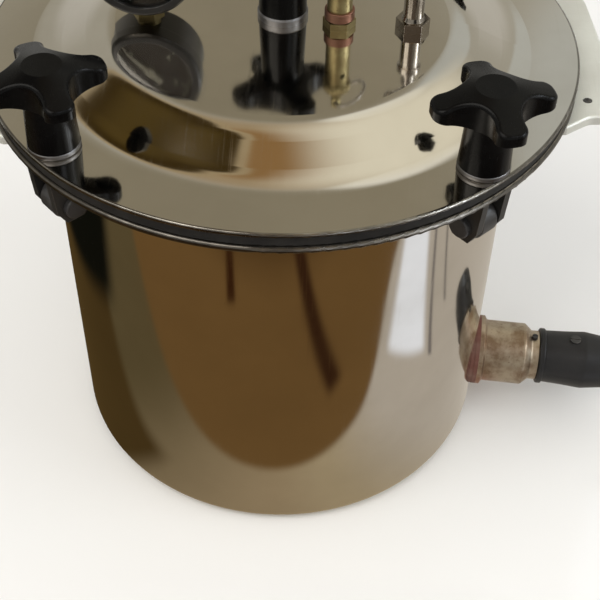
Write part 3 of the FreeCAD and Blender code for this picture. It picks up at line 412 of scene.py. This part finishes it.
def glazed(name, **frame_of):
    """Flat window glass with a little haze and dust."""
    look = Look(
        name, Base_Color=tint(0.96, 0.98, 0.97), Transmission_Weight=1.0, IOR=1.5, **frame_of,
    )
    haze = look.cloud(70.0, detail=4.0, roughness=0.6, seed=2.0)
    look.rough(look.ramp(haze, 0.5, 0.8, 0.01, 0.09))
    look.raise_by(look.cloud(12.0, detail=1.0, seed=1.0), 2e-5)
    return look.finish()


STEEL = {"colour": tint(0.66, 0.625, 0.57), "shade": tint(0.58, 0.545, 0.49), "rough": 0.06}
SWELL = 2.5e-5  # how far pressed sheet steel swells and dips

# Each slot's or look's maker, and what it is given.
FINISHES = {
    "polished_steel": (polished, {**STEEL, "wave": SWELL}),
    # The lid and the flange get painted shade on their outer edges, by the joint.
    "lid_steel": (polished, {**STEEL, "wave": SWELL, "soft_edge": 0.3 * MM, "rim": PAINTED_SHADE_RIM}),
    "flange_steel": (polished, {
        "colour": tint(0.50, 0.47, 0.43), "shade": tint(0.40, 0.37, 0.33), "rough": 0.14,
        "soft_edge": 0.4 * MM, "rim": PAINTED_SHADE_RIM,
    }),
    "chrome": (polished, {
        "colour": grey(0.72), "shade": grey(0.60), "rough": 0.08, "rings": 3000.0,
        "soft_edge": 0.3 * MM,
    }),
    "dark_chrome": (polished, {
        "colour": tint(0.34, 0.32, 0.29), "shade": tint(0.20, 0.17, 0.14), "rough": 0.14,
        "rings": 2200.0, "soft_edge": 0.3 * MM,
    }),
    "satin_steel": (brushed, {
        "colour": tint(0.60, 0.58, 0.54), "shade": tint(0.5, 0.48, 0.44),
    }),
    "zinc_steel": (brushed, {
        "colour": tint(0.50, 0.49, 0.47), "shade": tint(0.36, 0.34, 0.32), "rough": 0.26,
        "turned": 1800.0,
    }),
    "dull_zinc": (brushed, {
        "colour": tint(0.24, 0.24, 0.25), "shade": tint(0.15, 0.145, 0.145), "rough": 0.3,
        "turned": 1800.0,
    }),
    "spring_steel": (brushed, {
        "colour": grey(0.5), "shade": grey(0.38), "rough": 0.25, "turned": 2500.0,
    }),
    "grip_metal": (brushed, {
        "colour": tint(0.78, 0.79, 0.74), "shade": tint(0.66, 0.66, 0.61), "rough": 0.42,
        "shine": 0.6,
    }),
    "dark_iron": (enamelled, {
        "colour": tint(0.012, 0.011, 0.01), "under": tint(0.22, 0.2, 0.18),
    }),
    "black_oxide": (enamelled, {
        "colour": tint(0.02, 0.019, 0.019), "under": tint(0.16, 0.15, 0.14), "rough": 0.3,
        "grain": 6e-6,
    }),
    "gauge_black": (enamelled, {
        "colour": grey(0.008), "under": tint(0.2, 0.19, 0.18), "rough": 0.22, "grain": 6e-6,
    }),
    "nickel_brass": (tarnished, {
        "clean": tint(0.48, 0.41, 0.32), "stained": tint(0.25, 0.175, 0.115),
        "dark": tint(0.16, 0.10, 0.065), "rough": 0.3, "bloom": True,
    }),
    "brass": (tarnished, {
        "clean": tint(0.36, 0.31, 0.16), "stained": tint(0.24, 0.19, 0.09),
        "dark": tint(0.10, 0.06, 0.03), "rough": 0.3,
    }),
    "copper_washer": (tarnished, {
        "clean": tint(0.26, 0.13, 0.09), "stained": tint(0.18, 0.10, 0.07),
        "dark": tint(0.09, 0.04, 0.03), "rough": 0.4,
    }),
    "heater_sheath": (tarnished, {
        "clean": tint(0.40, 0.37, 0.34), "stained": tint(0.30, 0.22, 0.16),
        "dark": tint(0.7, 0.66, 0.6), "rough": 0.38,
    }),
    "black_bakelite": (moulded, {
        "colour": tint(0.002, 0.002, 0.0022), "worn_colour": tint(0.004, 0.0039, 0.0038),
        "shine": 0.11,
    }),
    "plug_bakelite": (moulded, {
        "colour": tint(0.014, 0.014, 0.015), "worn_colour": tint(0.024, 0.023, 0.023),
        "shine": 0.3, "rough": 0.38, "flow": 8e-6,
    }),
    "black_rubber": (rubber, {"colour": grey(0.007), "dusty": tint(0.02, 0.018, 0.016)}),
    "red_seal": (rubber, {
        "colour": tint(0.15, 0.05, 0.034), "dusty": tint(0.20, 0.11, 0.08), "rough": 0.6,
    }),
    "ceramic": (fired, {"colour": tint(0.78, 0.75, 0.68), "stained": tint(0.62, 0.55, 0.45)}),
    "dial_black": (fired, {
        "colour": tint(0.02, 0.016, 0.015), "stained": tint(0.035, 0.026, 0.022), "rough": 0.4,
    }),
    "dial_marks": (fired, {
        "colour": tint(0.72, 0.70, 0.62), "stained": tint(0.58, 0.54, 0.44), "rough": 0.45,
    }),
    "clear_glass": (glazed, {}),
}

# Nodes that look different from the rest of their slot.
LOOK_OF = {
    "lid_shell": "lid_steel", "side_handle_right": "grip_metal", "side_handle_left": "grip_metal",
    "knob_washer_1": "dull_zinc", "knob_washer_2": "dull_zinc", "knob_washer_3": "dull_zinc",
    "knob_washer_4": "dull_zinc", "lid_knob_ferrule": "dull_zinc",
    "shroud_screw": "black_oxide", "plug_screw": "black_oxide",
}


def frame_for(node):
    """The origin and axis that a node's finish is drawn round, where it has its own."""
    if node.startswith(("heater_", "shroud_", "plug_", "terminal_")) and node != "heater_element":
        return {"origin": INLET_FOOT, "axis": INLET_AXIS}
    if node == "gauge_stem":
        return {"origin": Vector((GAUGE_AT.x, GAUGE_AT.y, 0))}
    if node.startswith("gauge_") or node == "bourdon_tube":
        return {"origin": GAUGE_AT, "axis": (0, -1, 0)}
    if node.startswith(("knob_", "star_knob_")):
        return {"origin": JOINT_AT[f"knob_{node[-1]}_turn"]}
    if node.startswith("valve_"):
        return {"origin": VALVE_AT}
    if node.startswith("petcock_"):
        return {"origin": COCK_AT}
    return {}


MADE = {}  # materials by slot, origin and axis


def finish_for(slot, node):
    """The slot's finish, drawn in the frame that suits the node. Nodes that share both share it."""
    at = frame_for(node)
    key = (slot, tuple(at.get("origin", ())), tuple(at.get("axis", ())))
    if key not in MADE:
        maker, settings = FINISHES[slot]
        MADE[key] = maker(f"{slot}_{len(MADE)}", **settings, **at)
    return MADE[key]


for node, item in NODES.items():
    item.data.materials.clear()
    item.data.materials.append(finish_for(LOOK_OF.get(node, SLOT_OF[node]), node))


# ------------------------------------------------------------------ made details


def made_piece(name, data, body, slot, node):
    """Puts a mesh in the scene, finished like a node and riding on a body, if one is named."""
    item = bpy.data.objects.new(name, data)
    bpy.context.scene.collection.objects.link(item)
    data.materials.clear()
    data.materials.append(finish_for(slot, node))
    if body:
        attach(item, body)
    return item


def mesh_piece(name, shape, body, slot, node, crease=35):
    """A piece from a bmesh, smooth except across edges sharper than crease degrees."""
    bmesh.ops.recalc_face_normals(shape, faces=shape.faces)
    mesh = bpy.data.meshes.new(name)
    shape.to_mesh(mesh)
    shape.free()
    mesh.shade_smooth()
    mesh.set_sharp_from_angle(angle=math.radians(crease))
    return made_piece(name, mesh, body, slot, node)


def along(axis, origin=(0, 0, 0)):
    """The frame whose Z runs along an axis from an origin."""
    return Matrix.Translation(origin) @ Vector(axis).to_track_quat("Z", "Y").to_matrix().to_4x4()


def spun(shape, profile, place, steps=48, radius_at=None):
    """Adds a closed surface of revolution: (radius, height) pairs in order round the profile.

    radius_at(radius, height, angle) can shape the rings, as for a thread or a knurl.
    """
    rows = []
    for radius, height in profile:
        if radius == 0:
            rows.append([shape.verts.new(place @ Vector((0, 0, height)))])
            continue
        row = []
        for step in range(steps):
            angle = 2 * math.pi * step / steps
            reach = radius_at(radius, height, angle) if radius_at else radius
            row.append(shape.verts.new(
                place @ Vector((reach * math.cos(angle), reach * math.sin(angle), height))
            ))
        rows.append(row)
    closed = profile[0][0] != 0
    pairs = list(zip(rows, rows[1:])) + ([(rows[-1], rows[0])] if closed else [])
    for low, high in pairs:
        for step in range(steps):
            after = (step + 1) % steps
            corners = [low[step % len(low)], low[after % len(low)],
                       high[after % len(high)], high[step % len(high)]]
            face = list(dict.fromkeys(corners))
            if len(face) > 2:
                shape.faces.new(face)


def bar(shape, place, size, bevel):
    """Adds a block centred on the place's origin, with its edges rounded by bevel."""
    corners = bmesh.ops.create_cube(shape, size=1.0)["verts"]
    bmesh.ops.transform(shape, matrix=place @ Matrix.Diagonal((*size, 1)), verts=corners)
    edges = list({edge for vert in corners for edge in vert.link_edges})
    bmesh.ops.bevel(shape, geom=edges, offset=bevel, segments=2, profile=0.5, affect="EDGES")


def meshed(data, turn=None):
    """The plain mesh of what curve or text data shows."""
    source = bpy.data.objects.new("source", data)
    bpy.context.scene.collection.objects.link(source)
    bpy.context.view_layer.update()
    graph = bpy.context.evaluated_depsgraph_get()
    mesh = bpy.data.meshes.new_from_object(source.evaluated_get(graph))
    bpy.data.objects.remove(source)
    if turn is not None:
        mesh.transform(turn)
    return mesh


def tube_along(name, points, radius, closed, body, slot, node, sides=2):
    """A thin round bead along a line of points."""
    curve = bpy.data.curves.new(name, "CURVE")
    curve.dimensions = "3D"
    line = curve.splines.new("POLY")
    line.points.add(len(points) - 1)
    for line_point, point in zip(line.points, points):
        line_point.co = (*point, 1.0)
    line.use_cyclic_u = closed
    curve.bevel_depth = radius
    curve.bevel_resolution = sides
    curve.use_fill_caps = not closed
    return made_piece(name, meshed(curve), body, slot, node)


def cut_lines(node, point, normal):
    """The closed lines in which a plane cuts a node's surface, longest first."""
    shape = bmesh.new()
    shape.from_mesh(NODES[node].data)
    geometry = shape.verts[:] + shape.edges[:] + shape.faces[:]
    cut = bmesh.ops.bisect_plane(shape, geom=geometry, plane_co=point, plane_no=normal)
    edges = {item for item in cut["geom_cut"] if isinstance(item, bmesh.types.BMEdge)}
    lines = []
    while edges:
        edge = edges.pop()
        line = [edge.verts[0], edge.verts[1]]
        while True:
            onward = [item for item in line[-1].link_edges if item in edges]
            if not onward:
                break
            edges.discard(onward[0])
            line.append(onward[0].other_vert(line[-1]))
        lines.append([vert.co.copy() for vert in line])
    shape.free()

    def length(line):
        return sum((b - a).length for a, b in zip(line, line[1:]))

    return sorted(lines, key=length, reverse=True)


def threaded_studs():
    """The four eye bolts, with their rolled threads, in place of the plain ones."""
    shape = bmesh.new()
    low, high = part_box("clamp_studs")
    pin_height = centre_of("bracket_pins").z
    eye, eye_half, bore, soft = pin_height - low.z, 5.5 * MM, 4.1 * MM, 0.8 * MM
    shank, pitch, depth, point = 5 * MM, 1.5 * MM, 0.75 * MM, 1.6 * MM
    rows_a_turn, flank, crest = 8, 2.6, 0.25
    bottom = FLANGE_UNDER - 5 * MM
    top = high.z - 1.5 * MM
    count = round((top - bottom) / (pitch / rows_a_turn))

    def thread(radius, height, angle):
        if not bottom < height <= top + 1e-6 or radius < shank - 1e-6:
            return radius
        phase = (height / pitch - angle / (2 * math.pi)) % 1.0
        groove = min(1.0, max(0.0, abs(phase - 0.5) * flank - crest))
        run_in = min(1.0, (height - bottom) / (2 * pitch))
        return radius - depth * groove * run_in

    for degrees in CLAMP_ANGLES:
        middle = on_circle(KNOB_CIRCLE, degrees, 0)
        profile = [(0, pin_height + bore), (shank, pin_height + bore), (shank, bottom)]
        profile += [(shank, bottom + (top - bottom) * n / count) for n in range(1, count + 1)]
        profile += [(shank - depth, top + 0.1 * MM), (shank - point, high.z), (0, high.z)]
        spun(shape, profile, Matrix.Translation(middle), 40, thread)
        across = on_circle(1, degrees + 90, 0)
        ring = [
            (bore, soft - eye_half), (bore + soft, -eye_half), (eye - soft, -eye_half),
            (eye, soft - eye_half), (eye, eye_half - soft), (eye - soft, eye_half),
            (bore + soft, eye_half), (bore, eye_half - soft),
        ]
        spun(shape, ring, along(across, middle + UP * pin_height))
    studs = mesh_piece("threaded_studs", shape, POT_BODY, "black_oxide", "clamp_studs")
    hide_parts("clamp_studs")


def weld_beads():
    """Rippled fillets where the flange and the brackets are welded to the pot."""
    shape = bmesh.new()
    bead_radius, ripple, sides = 1.0 * MM, 1.9 * MM, 8

    def bead(points):
        travelled, rows = 0.0, []
        for number, point in enumerate(points):
            before = points[max(number - 1, 0)]
            after = points[min(number + 1, len(points) - 1)]
            travelled += (point - before).length if number else 0.0
            wave = bead_radius * (0.86 + 0.14 * abs(math.sin(math.pi * travelled / ripple)))
            if number in (0, len(points) - 1):
                wave *= 0.3
            place = along((after - before).normalized(), point)
            turns = (360 * n / sides for n in range(sides))
            rows.append([shape.verts.new(place @ on_circle(wave, turn, 0)) for turn in turns])
        for low, high in zip(rows, rows[1:]):
            for n in range(sides):
                m = (n + 1) % sides
                shape.faces.new((low[n], low[m], high[m], high[n]))
        shape.faces.new(rows[0][::-1])
        shape.faces.new(rows[-1])

    # Under the flange, in the two free arcs between the side grips' tabs.
    step_degrees, sunk = 0.22, 0.25 * MM
    for start, end in ((29.5, 162.5), (209.5, 342.5)):
        count = round((end - start) / step_degrees)
        bead([
            on_circle(POT_RADIUS + sunk, start + (end - start) * n / count, FLANGE_UNDER - sunk)
            for n in range(count + 1)
        ])

    # Up both sides of each bracket.
    bracket_half, clear, count = 9.7 * MM, 0.2 * MM, 40
    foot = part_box("clamp_brackets")[0].z + 14 * MM
    run = FLANGE_UNDER - 2 * MM - foot
    for degrees in CLAMP_ANGLES:
        for side in (-1, 1):
            turn = degrees + side * math.degrees((bracket_half + clear) / POT_RADIUS)
            bead([
                on_circle(POT_RADIUS + clear, turn, foot + run * n / count)
                for n in range(count + 1)
            ])
    mesh_piece("weld_beads", shape, POT_BODY, "satin_steel", "vessel_shell")


def squeezed_seal():
    """The seal's lip, squeezed out to meet the pot's curved wall all round."""
    shape = bmesh.new()
    low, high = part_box("heater_shroud")
    outer = (high.z - low.z) / 2 - 0.5 * MM
    inner, bulge, sunk = outer - 2 * MM, outer + 0.35 * MM, 0.15 * MM
    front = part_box("heater_seals")[1].x - 0.6 * MM
    aside = UP.cross(INLET_AXIS)
    profile = (inner, False), (bulge, False), (outer, True), (inner, True)
    steps = 96
    rows = []
    for step in range(steps):
        angle = 2 * math.pi * step / steps
        row = []
        for reach, at_front in profile:
            offset = reach * math.cos(angle)
            depth = front if at_front else math.sqrt(POT_RADIUS ** 2 - offset ** 2) - sunk
            row.append(shape.verts.new(
                INLET_FOOT + INLET_AXIS * depth + aside * offset + UP * reach * math.sin(angle)
            ))
        rows.append(row)
    for row, after in zip(rows, rows[1:] + rows[:1]):
        for n in range(len(profile)):
            m = (n + 1) % len(profile)
            shape.faces.new((row[n], row[m], after[m], after[n]))
    mesh_piece("seal_lip", shape, POT_BODY, "red_seal", "heater_seals")


def parting_lines():
    """The fine flash line round each moulding."""
    mould_joint = 8.7 * MM  # how far below a knob's top its mould parted
    knobs = [(f"star_knob_{n}", f"clamp_knob_{n}") for n in range(1, 5)]
    for node, body in knobs + [("lid_knob", LID_BODY)]:
        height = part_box(node)[1].z - mould_joint
        line = cut_lines(node, Vector((0, 0, height)), UP)[0]
        tube_along(f"{node}_flash", line[:-1], 0.14 * MM, True, body, "black_bakelite", node)

    # The plug's two lines follow its widest points, from its collar to its rounded end.
    cut = [point for line in cut_lines("plug_body", centre_of("plug_body"), UP) for point in line]
    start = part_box("plug_collar")[1].x + 1 * MM
    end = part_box("plug_body")[1].x - 6 * MM
    spacing, narrowest = 1.5 * MM, 8 * MM
    aside = UP.cross(INLET_AXIS)
    for number, side in enumerate((-1, 1)):
        outermost = {}
        for point in cut:
            ahead, out = point.dot(INLET_AXIS), point.dot(aside) * side
            place = round(ahead / spacing)
            if start < ahead < end and out > outermost.get(place, (narrowest,))[0]:
                outermost[place] = (out, point)
        run = [outermost[place][1] for place in sorted(outermost)]
        tube_along(
            f"plug_flash_{number}", run, 0.16 * MM, False, "plug", "plug_bakelite", "plug_body",
        )


def dial_print():
    """The scale on the gauge's face: an arc, its ticks and their numbers."""
    low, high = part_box("gauge_dial")
    pivot = Vector((GAUGE_AT.x, low.y, GAUGE_AT.z))
    tip = max(
        (vert.co for vert in NODES["gauge_pointer"].data.vertices),
        key=lambda point: (point - GAUGE_AT).length,
    )
    rest = math.atan2(tip.x - GAUGE_AT.x, tip.z - GAUGE_AT.z)
    radius = (high.z - low.z) / 2 - 3 * MM
    sweep = math.radians(270)
    shape = bmesh.new()

    def way_of(angle):
        return Vector((math.sin(angle), 0, math.cos(angle)))

    # Each tick's length and width: at the numbers, half way between them, and the rest.
    major, half, minor = (4.0 * MM, 0.55 * MM), (2.6 * MM, 0.28 * MM), (1.6 * MM, 0.28 * MM)
    numbers, ticks_each = 4, 10
    ticks = numbers * ticks_each
    for tick in range(ticks + 1):
        angle = rest + sweep * tick / ticks
        if tick % ticks_each == 0:
            length, width = major
        else:
            length, width = half if tick % (ticks_each // 2) == 0 else minor
        place = Matrix.Translation(pivot + way_of(angle) * (radius - length / 2))
        place = place @ Matrix.Rotation(angle, 4, "Y")
        bar(shape, place, (width, 0.16 * MM, length), 0.03 * MM)

    arc_in, arc_out, ink = radius + 0.4 * MM, radius + 0.8 * MM, 0.1 * MM
    ring = [(arc_in, 0), (arc_out, 0), (arc_out, ink), (arc_in, ink)]
    spun(shape, ring, along((0, -1, 0), pivot), 96)

    for number in range(numbers + 1):
        angle = rest + sweep * number * ticks_each / ticks
        text = bpy.data.curves.new(f"number_{number}", "FONT")
        text.body = str(number)
        text.size = 5.2 * MM
        text.align_x = text.align_y = "CENTER"
        text.extrude = 0.06 * MM
        where = pivot + way_of(angle) * (radius - 7.4 * MM) - Vector((0, 0.05 * MM, 0))
        upright = Matrix.Translation(where) @ Matrix.Rotation(math.radians(90), 4, "X")
        shape.from_mesh(meshed(text, upright))
    mesh_piece("dial_scale", shape, LID_BODY, "dial_marks", "gauge_dial")


def relief_spring():
    """The valve's coil, with closed ends, in place of the plain one.

    Its lower end sits on the valve's disc and its upper end in the cap; it rides on no body and stays where it is
    made.
    """
    low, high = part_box("valve_spring")
    middle = centre_of("valve_spring")
    wire, radius = 0.5 * MM, 3.4 * MM
    bottom, top = low.z + wire, high.z - wire
    turns, steps, closed_rise = 7, 28, 2.2 * wire
    points = []
    for step in range(turns * steps + 1):
        turn = step / steps
        open_share = min(max((turn - 1) / (turns - 2), 0), 1)
        height = bottom + closed_rise * (min(turn, 1) + max(turn - turns + 1, 0))
        height += open_share * (top - bottom - 2 * closed_rise)
        angle = 2 * math.pi * turn
        points.append((
            middle.x + radius * math.cos(angle), middle.y + radius * math.sin(angle), height,
        ))
    coil = tube_along(
        "relief_coil", points, wire, False, None, "spring_steel", "valve_spring", sides=3,
    )
    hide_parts("valve_spring")
    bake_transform(coil)


def knurled_ring():
    """Straight knurling round the relief valve's cap."""
    shape = bmesh.new()
    low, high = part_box("valve_cap")
    radius = (high.x - low.x) / 2
    teeth, tooth = 36, 0.28 * MM

    def knurl(reach, _height, angle):
        if reach < radius:
            return reach
        return reach + tooth * abs(math.sin(angle * teeth / 2))

    inside, outside = radius - 0.4 * MM, radius + 0.1 * MM
    profile = [
        (inside, 1.0 * MM), (radius, 1.0 * MM), (outside, 1.3 * MM),
        (outside, 4.0 * MM), (radius, 4.3 * MM), (inside, 4.3 * MM),
    ]
    foot = Vector((VALVE_AT.x, VALVE_AT.y, low.z))
    spun(shape, profile, Matrix.Translation(foot), teeth * 6, knurl)
    mesh_piece("valve_knurl", shape, LID_BODY, "brass", "valve_cap", crease=50)


def grip_screws():
    """Slotted screws that fill the holes in the side grips."""
    shape = bmesh.new()
    plate_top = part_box("side_handle_right")[1].z
    head, reach, side = 2.3 * MM, 152.5 * MM, 44 * MM
    shank, crown = head * 0.6, 0.6 * MM
    profile = [
        (0, -2.6 * MM), (shank, -2.6 * MM), (shank, -1.6 * MM), (head, -0.6 * MM),
        (head, 0.1 * MM), (head - 0.4 * MM, 0.45 * MM), (0.9 * MM, crown), (0, crown),
    ]
    # Two raised halves on the head leave the screwdriver's slot between them.
    half_size, half_out, half_up = (head * 1.3, 1.3 * MM, 0.5 * MM), 1.15 * MM, 0.62 * MM
    for degrees in (6, 186):
        turn = Matrix.Rotation(math.radians(degrees), 4, "Z")
        for way in (-1, 1):
            middle = turn @ Vector((reach, way * side, plate_top - 0.9 * MM))
            spun(shape, profile, Matrix.Translation(middle), 32)
            slot_turn = math.radians(degrees * 0.7 + 52 * way)
            place = Matrix.Translation(middle + UP * half_up)
            place = place @ Matrix.Rotation(slot_turn, 4, "Z")
            for edge in (-1, 1):
                offset = Matrix.Translation((0, edge * half_out, 0))
                bar(shape, place @ offset, half_size, 0.12 * MM)
    mesh_piece("grip_screws", shape, POT_BODY, "black_oxide", "side_handle_right")


threaded_studs()
weld_beads()
squeezed_seal()
parting_lines()
dial_print()
relief_spring()
knurled_ring()
grip_screws()


# ------------------------------------------------------------------ stage, light and camera


def stage_sheet(name, half_width, material, height=0.0):
    """A level square that isn't part of the object: the lit floor, or the glowing sheet of painted reflections."""
    corners = (-1, -1), (1, -1), (1, 1), (-1, 1)
    mesh = bpy.data.meshes.new(name)
    mesh.from_pydata(
        [(x * half_width, y * half_width, height) for x, y in corners], [], [(0, 1, 2, 3)],
    )
    mesh.materials.append(material)
    sheet = bpy.data.objects.new(name, mesh)
    bpy.context.scene.collection.objects.link(sheet)
    return sheet


def plain(name, colour, roughness):
    look = Look(name)
    look.colour(look.mix(look.ramp(look.cloud(3.0), 0.2, 0.8), colour, scaled(colour, 0.985)))
    look.rough(roughness)
    return look.finish()


def bench_sheet():
    """A glowing sheet of painted reflections, seen only by the polished metal, in place of the bare floor.

    The places on it are in metres. Each layer covers the ones before it.
    """
    material = bpy.data.materials.new("painted_bench_reflection")
    material.use_nodes = True
    tree = Tree(material.node_tree)
    place = tree.add("ShaderNodeTexCoord").outputs["Object"]
    x, y, _ = tree.parts(place)

    def strip(start, end, half_width, soft):
        """1 along the line from start to end, 0 beside and beyond it."""
        start, end = Vector((*start, 0)), Vector((*end, 0))
        turn = math.atan2(end.y - start.y, end.x - start.x)
        local = tree.add(
            "ShaderNodeMapping", {"Vector": place, "Location": start, "Rotation": (0, 0, turn)},
            vector_type="TEXTURE",
        ).outputs[0]
        ahead, aside, _ = tree.parts(local)
        aside = tree.calc("ABSOLUTE", aside)
        beside = tree.ramp(aside, half_width - soft, half_width + soft, 1.0, 0.0)
        length = (end - start).length
        near = tree.ramp(ahead, 0.0, soft * 2)
        far = tree.ramp(ahead, length - soft * 2, length, 1.0, 0.0)
        return tree.times(beside, tree.times(near, far))

    # Painted reflection of a worktop that pales from left to right.
    painted_reflection = tree.mix(
        tree.ramp(x, -0.17, 0.02), tint(0.12, 0.09, 0.042), tint(0.37, 0.285, 0.175),
    )
    painted_reflection = tree.mix(tree.ramp(x, 0.0, 0.06), painted_reflection, tint(0.46, 0.375, 0.24))
    painted_reflection = tree.mix(tree.ramp(x, 0.05, 0.14), painted_reflection, tint(0.55, 0.50, 0.43))

    # Painted reflection: the left end is dark, behind a slanting line.
    slant = tree.total(y, 0.1585, tree.times(x, 0.45))
    painted_dark_end = tree.times(tree.ramp(slant, -0.008, 0.008), tree.ramp(x, -0.075, -0.10))
    painted_reflection = tree.mix(painted_dark_end, painted_reflection, tint(0.072, 0.044, 0.014))

    painted_shadow_and_glints = (
        # start, end, half width, soft edge, colour
        ((-0.33, -0.09), (-0.33, 0.22), 0.10, 0.02, tint(0.006, 0.006, 0.004)),  # painted shadow of the pot, at the left
        ((0.18, -0.125), (0.46, -0.205), 0.036, 0.007, tint(1.05, 1.10, 1.20)),  # painted window glint
        ((0.19, -0.078), (0.40, -0.118), 0.0035, 0.002, tint(0.20, 0.18, 0.17)),  # two painted reflected streaks
        ((0.24, -0.052), (0.42, -0.078), 0.003, 0.002, tint(0.22, 0.20, 0.18)),
    )
    for *where, colour in painted_shadow_and_glints:
        painted_reflection = tree.mix(strip(*where), painted_reflection, colour)

    # Painted reflection of a brown front edge, with two painted dark streaks.
    edge = tree.calc("ADD", y, tree.ramp(x, 0.10, 0.27, 0.160, 0.205))
    front = tree.ramp(edge, -0.006, 0.002, 1.0, 0.0)
    brown = tree.mix(
        tree.ramp(y, -0.40, -0.30), tint(0.07, 0.036, 0.012), tint(0.175, 0.098, 0.034),
    )
    painted_reflection = tree.mix(front, painted_reflection, brown)
    painted_streaks = (
        ((-0.126, -0.39), (-0.082, -0.285), 0.009, 0.005, tint(0.04, 0.014, 0.005)),
        ((0.060, -0.40), (0.097, -0.196), 0.013, 0.008, tint(0.04, 0.016, 0.007)),
    )
    for *where, colour in painted_streaks:
        painted_reflection = tree.mix(strip(*where), painted_reflection, colour)

    # Painted reflection of a paler area behind the pot.
    behind = tree.ramp(y, 0.12, 0.32)
    painted_reflection = tree.mix(behind, painted_reflection, tint(0.50, 0.46, 0.40))
    glow = tree.add("ShaderNodeEmission", {"Color": painted_reflection, "Strength": 1.0})
    out = tree.add("ShaderNodeOutputMaterial")
    tree.tree.links.new(glow.outputs[0], out.inputs["Surface"])
    sheet = stage_sheet("painted_reflection", 1.5, material, 0.6 * MM)
    sheet.visible_camera = sheet.visible_diffuse = sheet.visible_shadow = False
    sheet.visible_transmission = sheet.visible_volume_scatter = False


def softbox(name, where, width, depth, watts, colour):
    """A rectangular light aimed at the middle of the pot."""
    aimed_at = Vector((0, 0, 0.15))
    light = bpy.data.lights.new(name, "AREA")
    light.shape = "RECTANGLE"
    light.size, light.size_y, light.energy, light.color = width, depth, watts, colour
    lamp = bpy.data.objects.new(name, light)
    lamp.location = where
    lamp.rotation_euler = (aimed_at - Vector(where)).to_track_quat("-Z", "Y").to_euler()
    bpy.context.scene.collection.objects.link(lamp)


CREAM, GLOOM, EMBER = tint(0.47, 0.37, 0.22), tint(0.05, 0.03, 0.006), tint(0.095, 0.062, 0.016)
ROOM_PATCHES = (
    # azimuth, elevation, full inside, gone outside (all in degrees), colour
    (97, 40, 7, 17, tint(0.32, 0.285, 0.205)),  # dim wall behind
    (69, 35, 8, 11, tint(0.585, 0.60, 0.56)),  # pale panel behind
    (75, 51, 5, 9, tint(1.0, 0.98, 0.88)),  # brighter panel above it
    (135, 83, 3, 19, tint(0.34, 0.195, 0.075)),  # brown overhead
    (38, 58, 8, 32, tint(0.98, 0.93, 0.76)),  # bright upper right
    (160, 69, 12.5, 14.0, CREAM),  # dark shapes at the upper left, outlined in cream
    (147, 54, 18.5, 20.0, CREAM),
    (160, 69, 10, 11.5, GLOOM),
    (147, 54, 16, 17.5, GLOOM),
    (159, 68, 3, 9, EMBER),
    (147, 54, 3, 13, EMBER),
    (-90, 46, 8, 30, tint(0.27, 0.215, 0.17)),  # the camera's side
    (-49, 46, 5, 9, tint(3.0, 3.2, 3.6)),  # window at the front right
    (-5, 34, 3, 7, tint(15.0, 16.5, 18.5)),  # lamp at the right
)


def studio_world():
    """Soft plain light for the floor, and a warm room for the steel to reflect."""
    world = bpy.data.worlds.new("studio")
    world.use_nodes = True
    tree = Tree(world.node_tree)
    way = tree.add("ShaderNodeTexCoord").outputs["Generated"]
    height = tree.parts(way)[2]
    room = tree.mix(tree.ramp(height, 0.20, 0.42), tint(0.60, 0.58, 0.52), tint(0.48, 0.46, 0.39))
    room = tree.mix(tree.ramp(height, 0.72, 0.92), room, tint(0.46, 0.35, 0.21))
    for azimuth, elevation, inner, outer, colour in ROOM_PATCHES:
        up = math.radians(elevation)
        towards = on_circle(math.cos(up), azimuth, math.sin(up))
        near = tree.add("ShaderNodeVectorMath", {0: way, 1: towards}, operation="DOT_PRODUCT")
        share = tree.ramp(
            near.outputs["Value"], math.cos(math.radians(outer)), math.cos(math.radians(inner)),
        )
        room = tree.mix(share, room, colour)
    rays = tree.add("ShaderNodeLightPath")
    seen = tree.mix(rays.outputs["Is Glossy Ray"], tint(0.80, 0.80, 0.79), room)
    seen = tree.mix(rays.outputs["Is Camera Ray"], seen, tint(0.69, 0.68, 0.66))
    back = tree.add("ShaderNodeBackground", {"Color": seen, "Strength": 1.0})
    out = tree.add("ShaderNodeOutputWorld")
    tree.tree.links.new(back.outputs[0], out.inputs["Surface"])
    bpy.context.scene.world = world


def place_camera():
    """The photo's camera, as the pinhole fit to the pot's outline gives it."""
    where = Vector((0.0351, -0.5301, 0.6090))
    looking = Vector((-0.03037, 0.69567, -0.71770))
    roll = math.radians(1.255)
    data = bpy.data.cameras.new("camera")
    data.lens, data.sensor_width = 72, 36
    camera = bpy.data.objects.new("camera", data)
    bpy.context.scene.collection.objects.link(camera)
    facing = looking.to_track_quat("-Z", "Y").to_matrix().to_4x4()
    camera.matrix_world = Matrix.Translation(where) @ facing @ Matrix.Rotation(roll, 4, "Z")
    bpy.context.scene.camera = camera


stage_sheet("floor", 12, plain("pale_floor", tint(0.86, 0.85, 0.83), 0.7))
# A glowing sheet of painted reflections, seen only by the metal.
bench_sheet()
softbox("key", (-0.9, -0.9, 1.9), 1.4, 1.4, 22, (1.0, 0.97, 0.92))
softbox("fill", (1.6, -0.4, 1.0), 1.0, 1.4, 9, (0.92, 0.96, 1.0))
studio_world()
place_camera()
bpy.context.scene.view_settings.view_transform = "Standard"
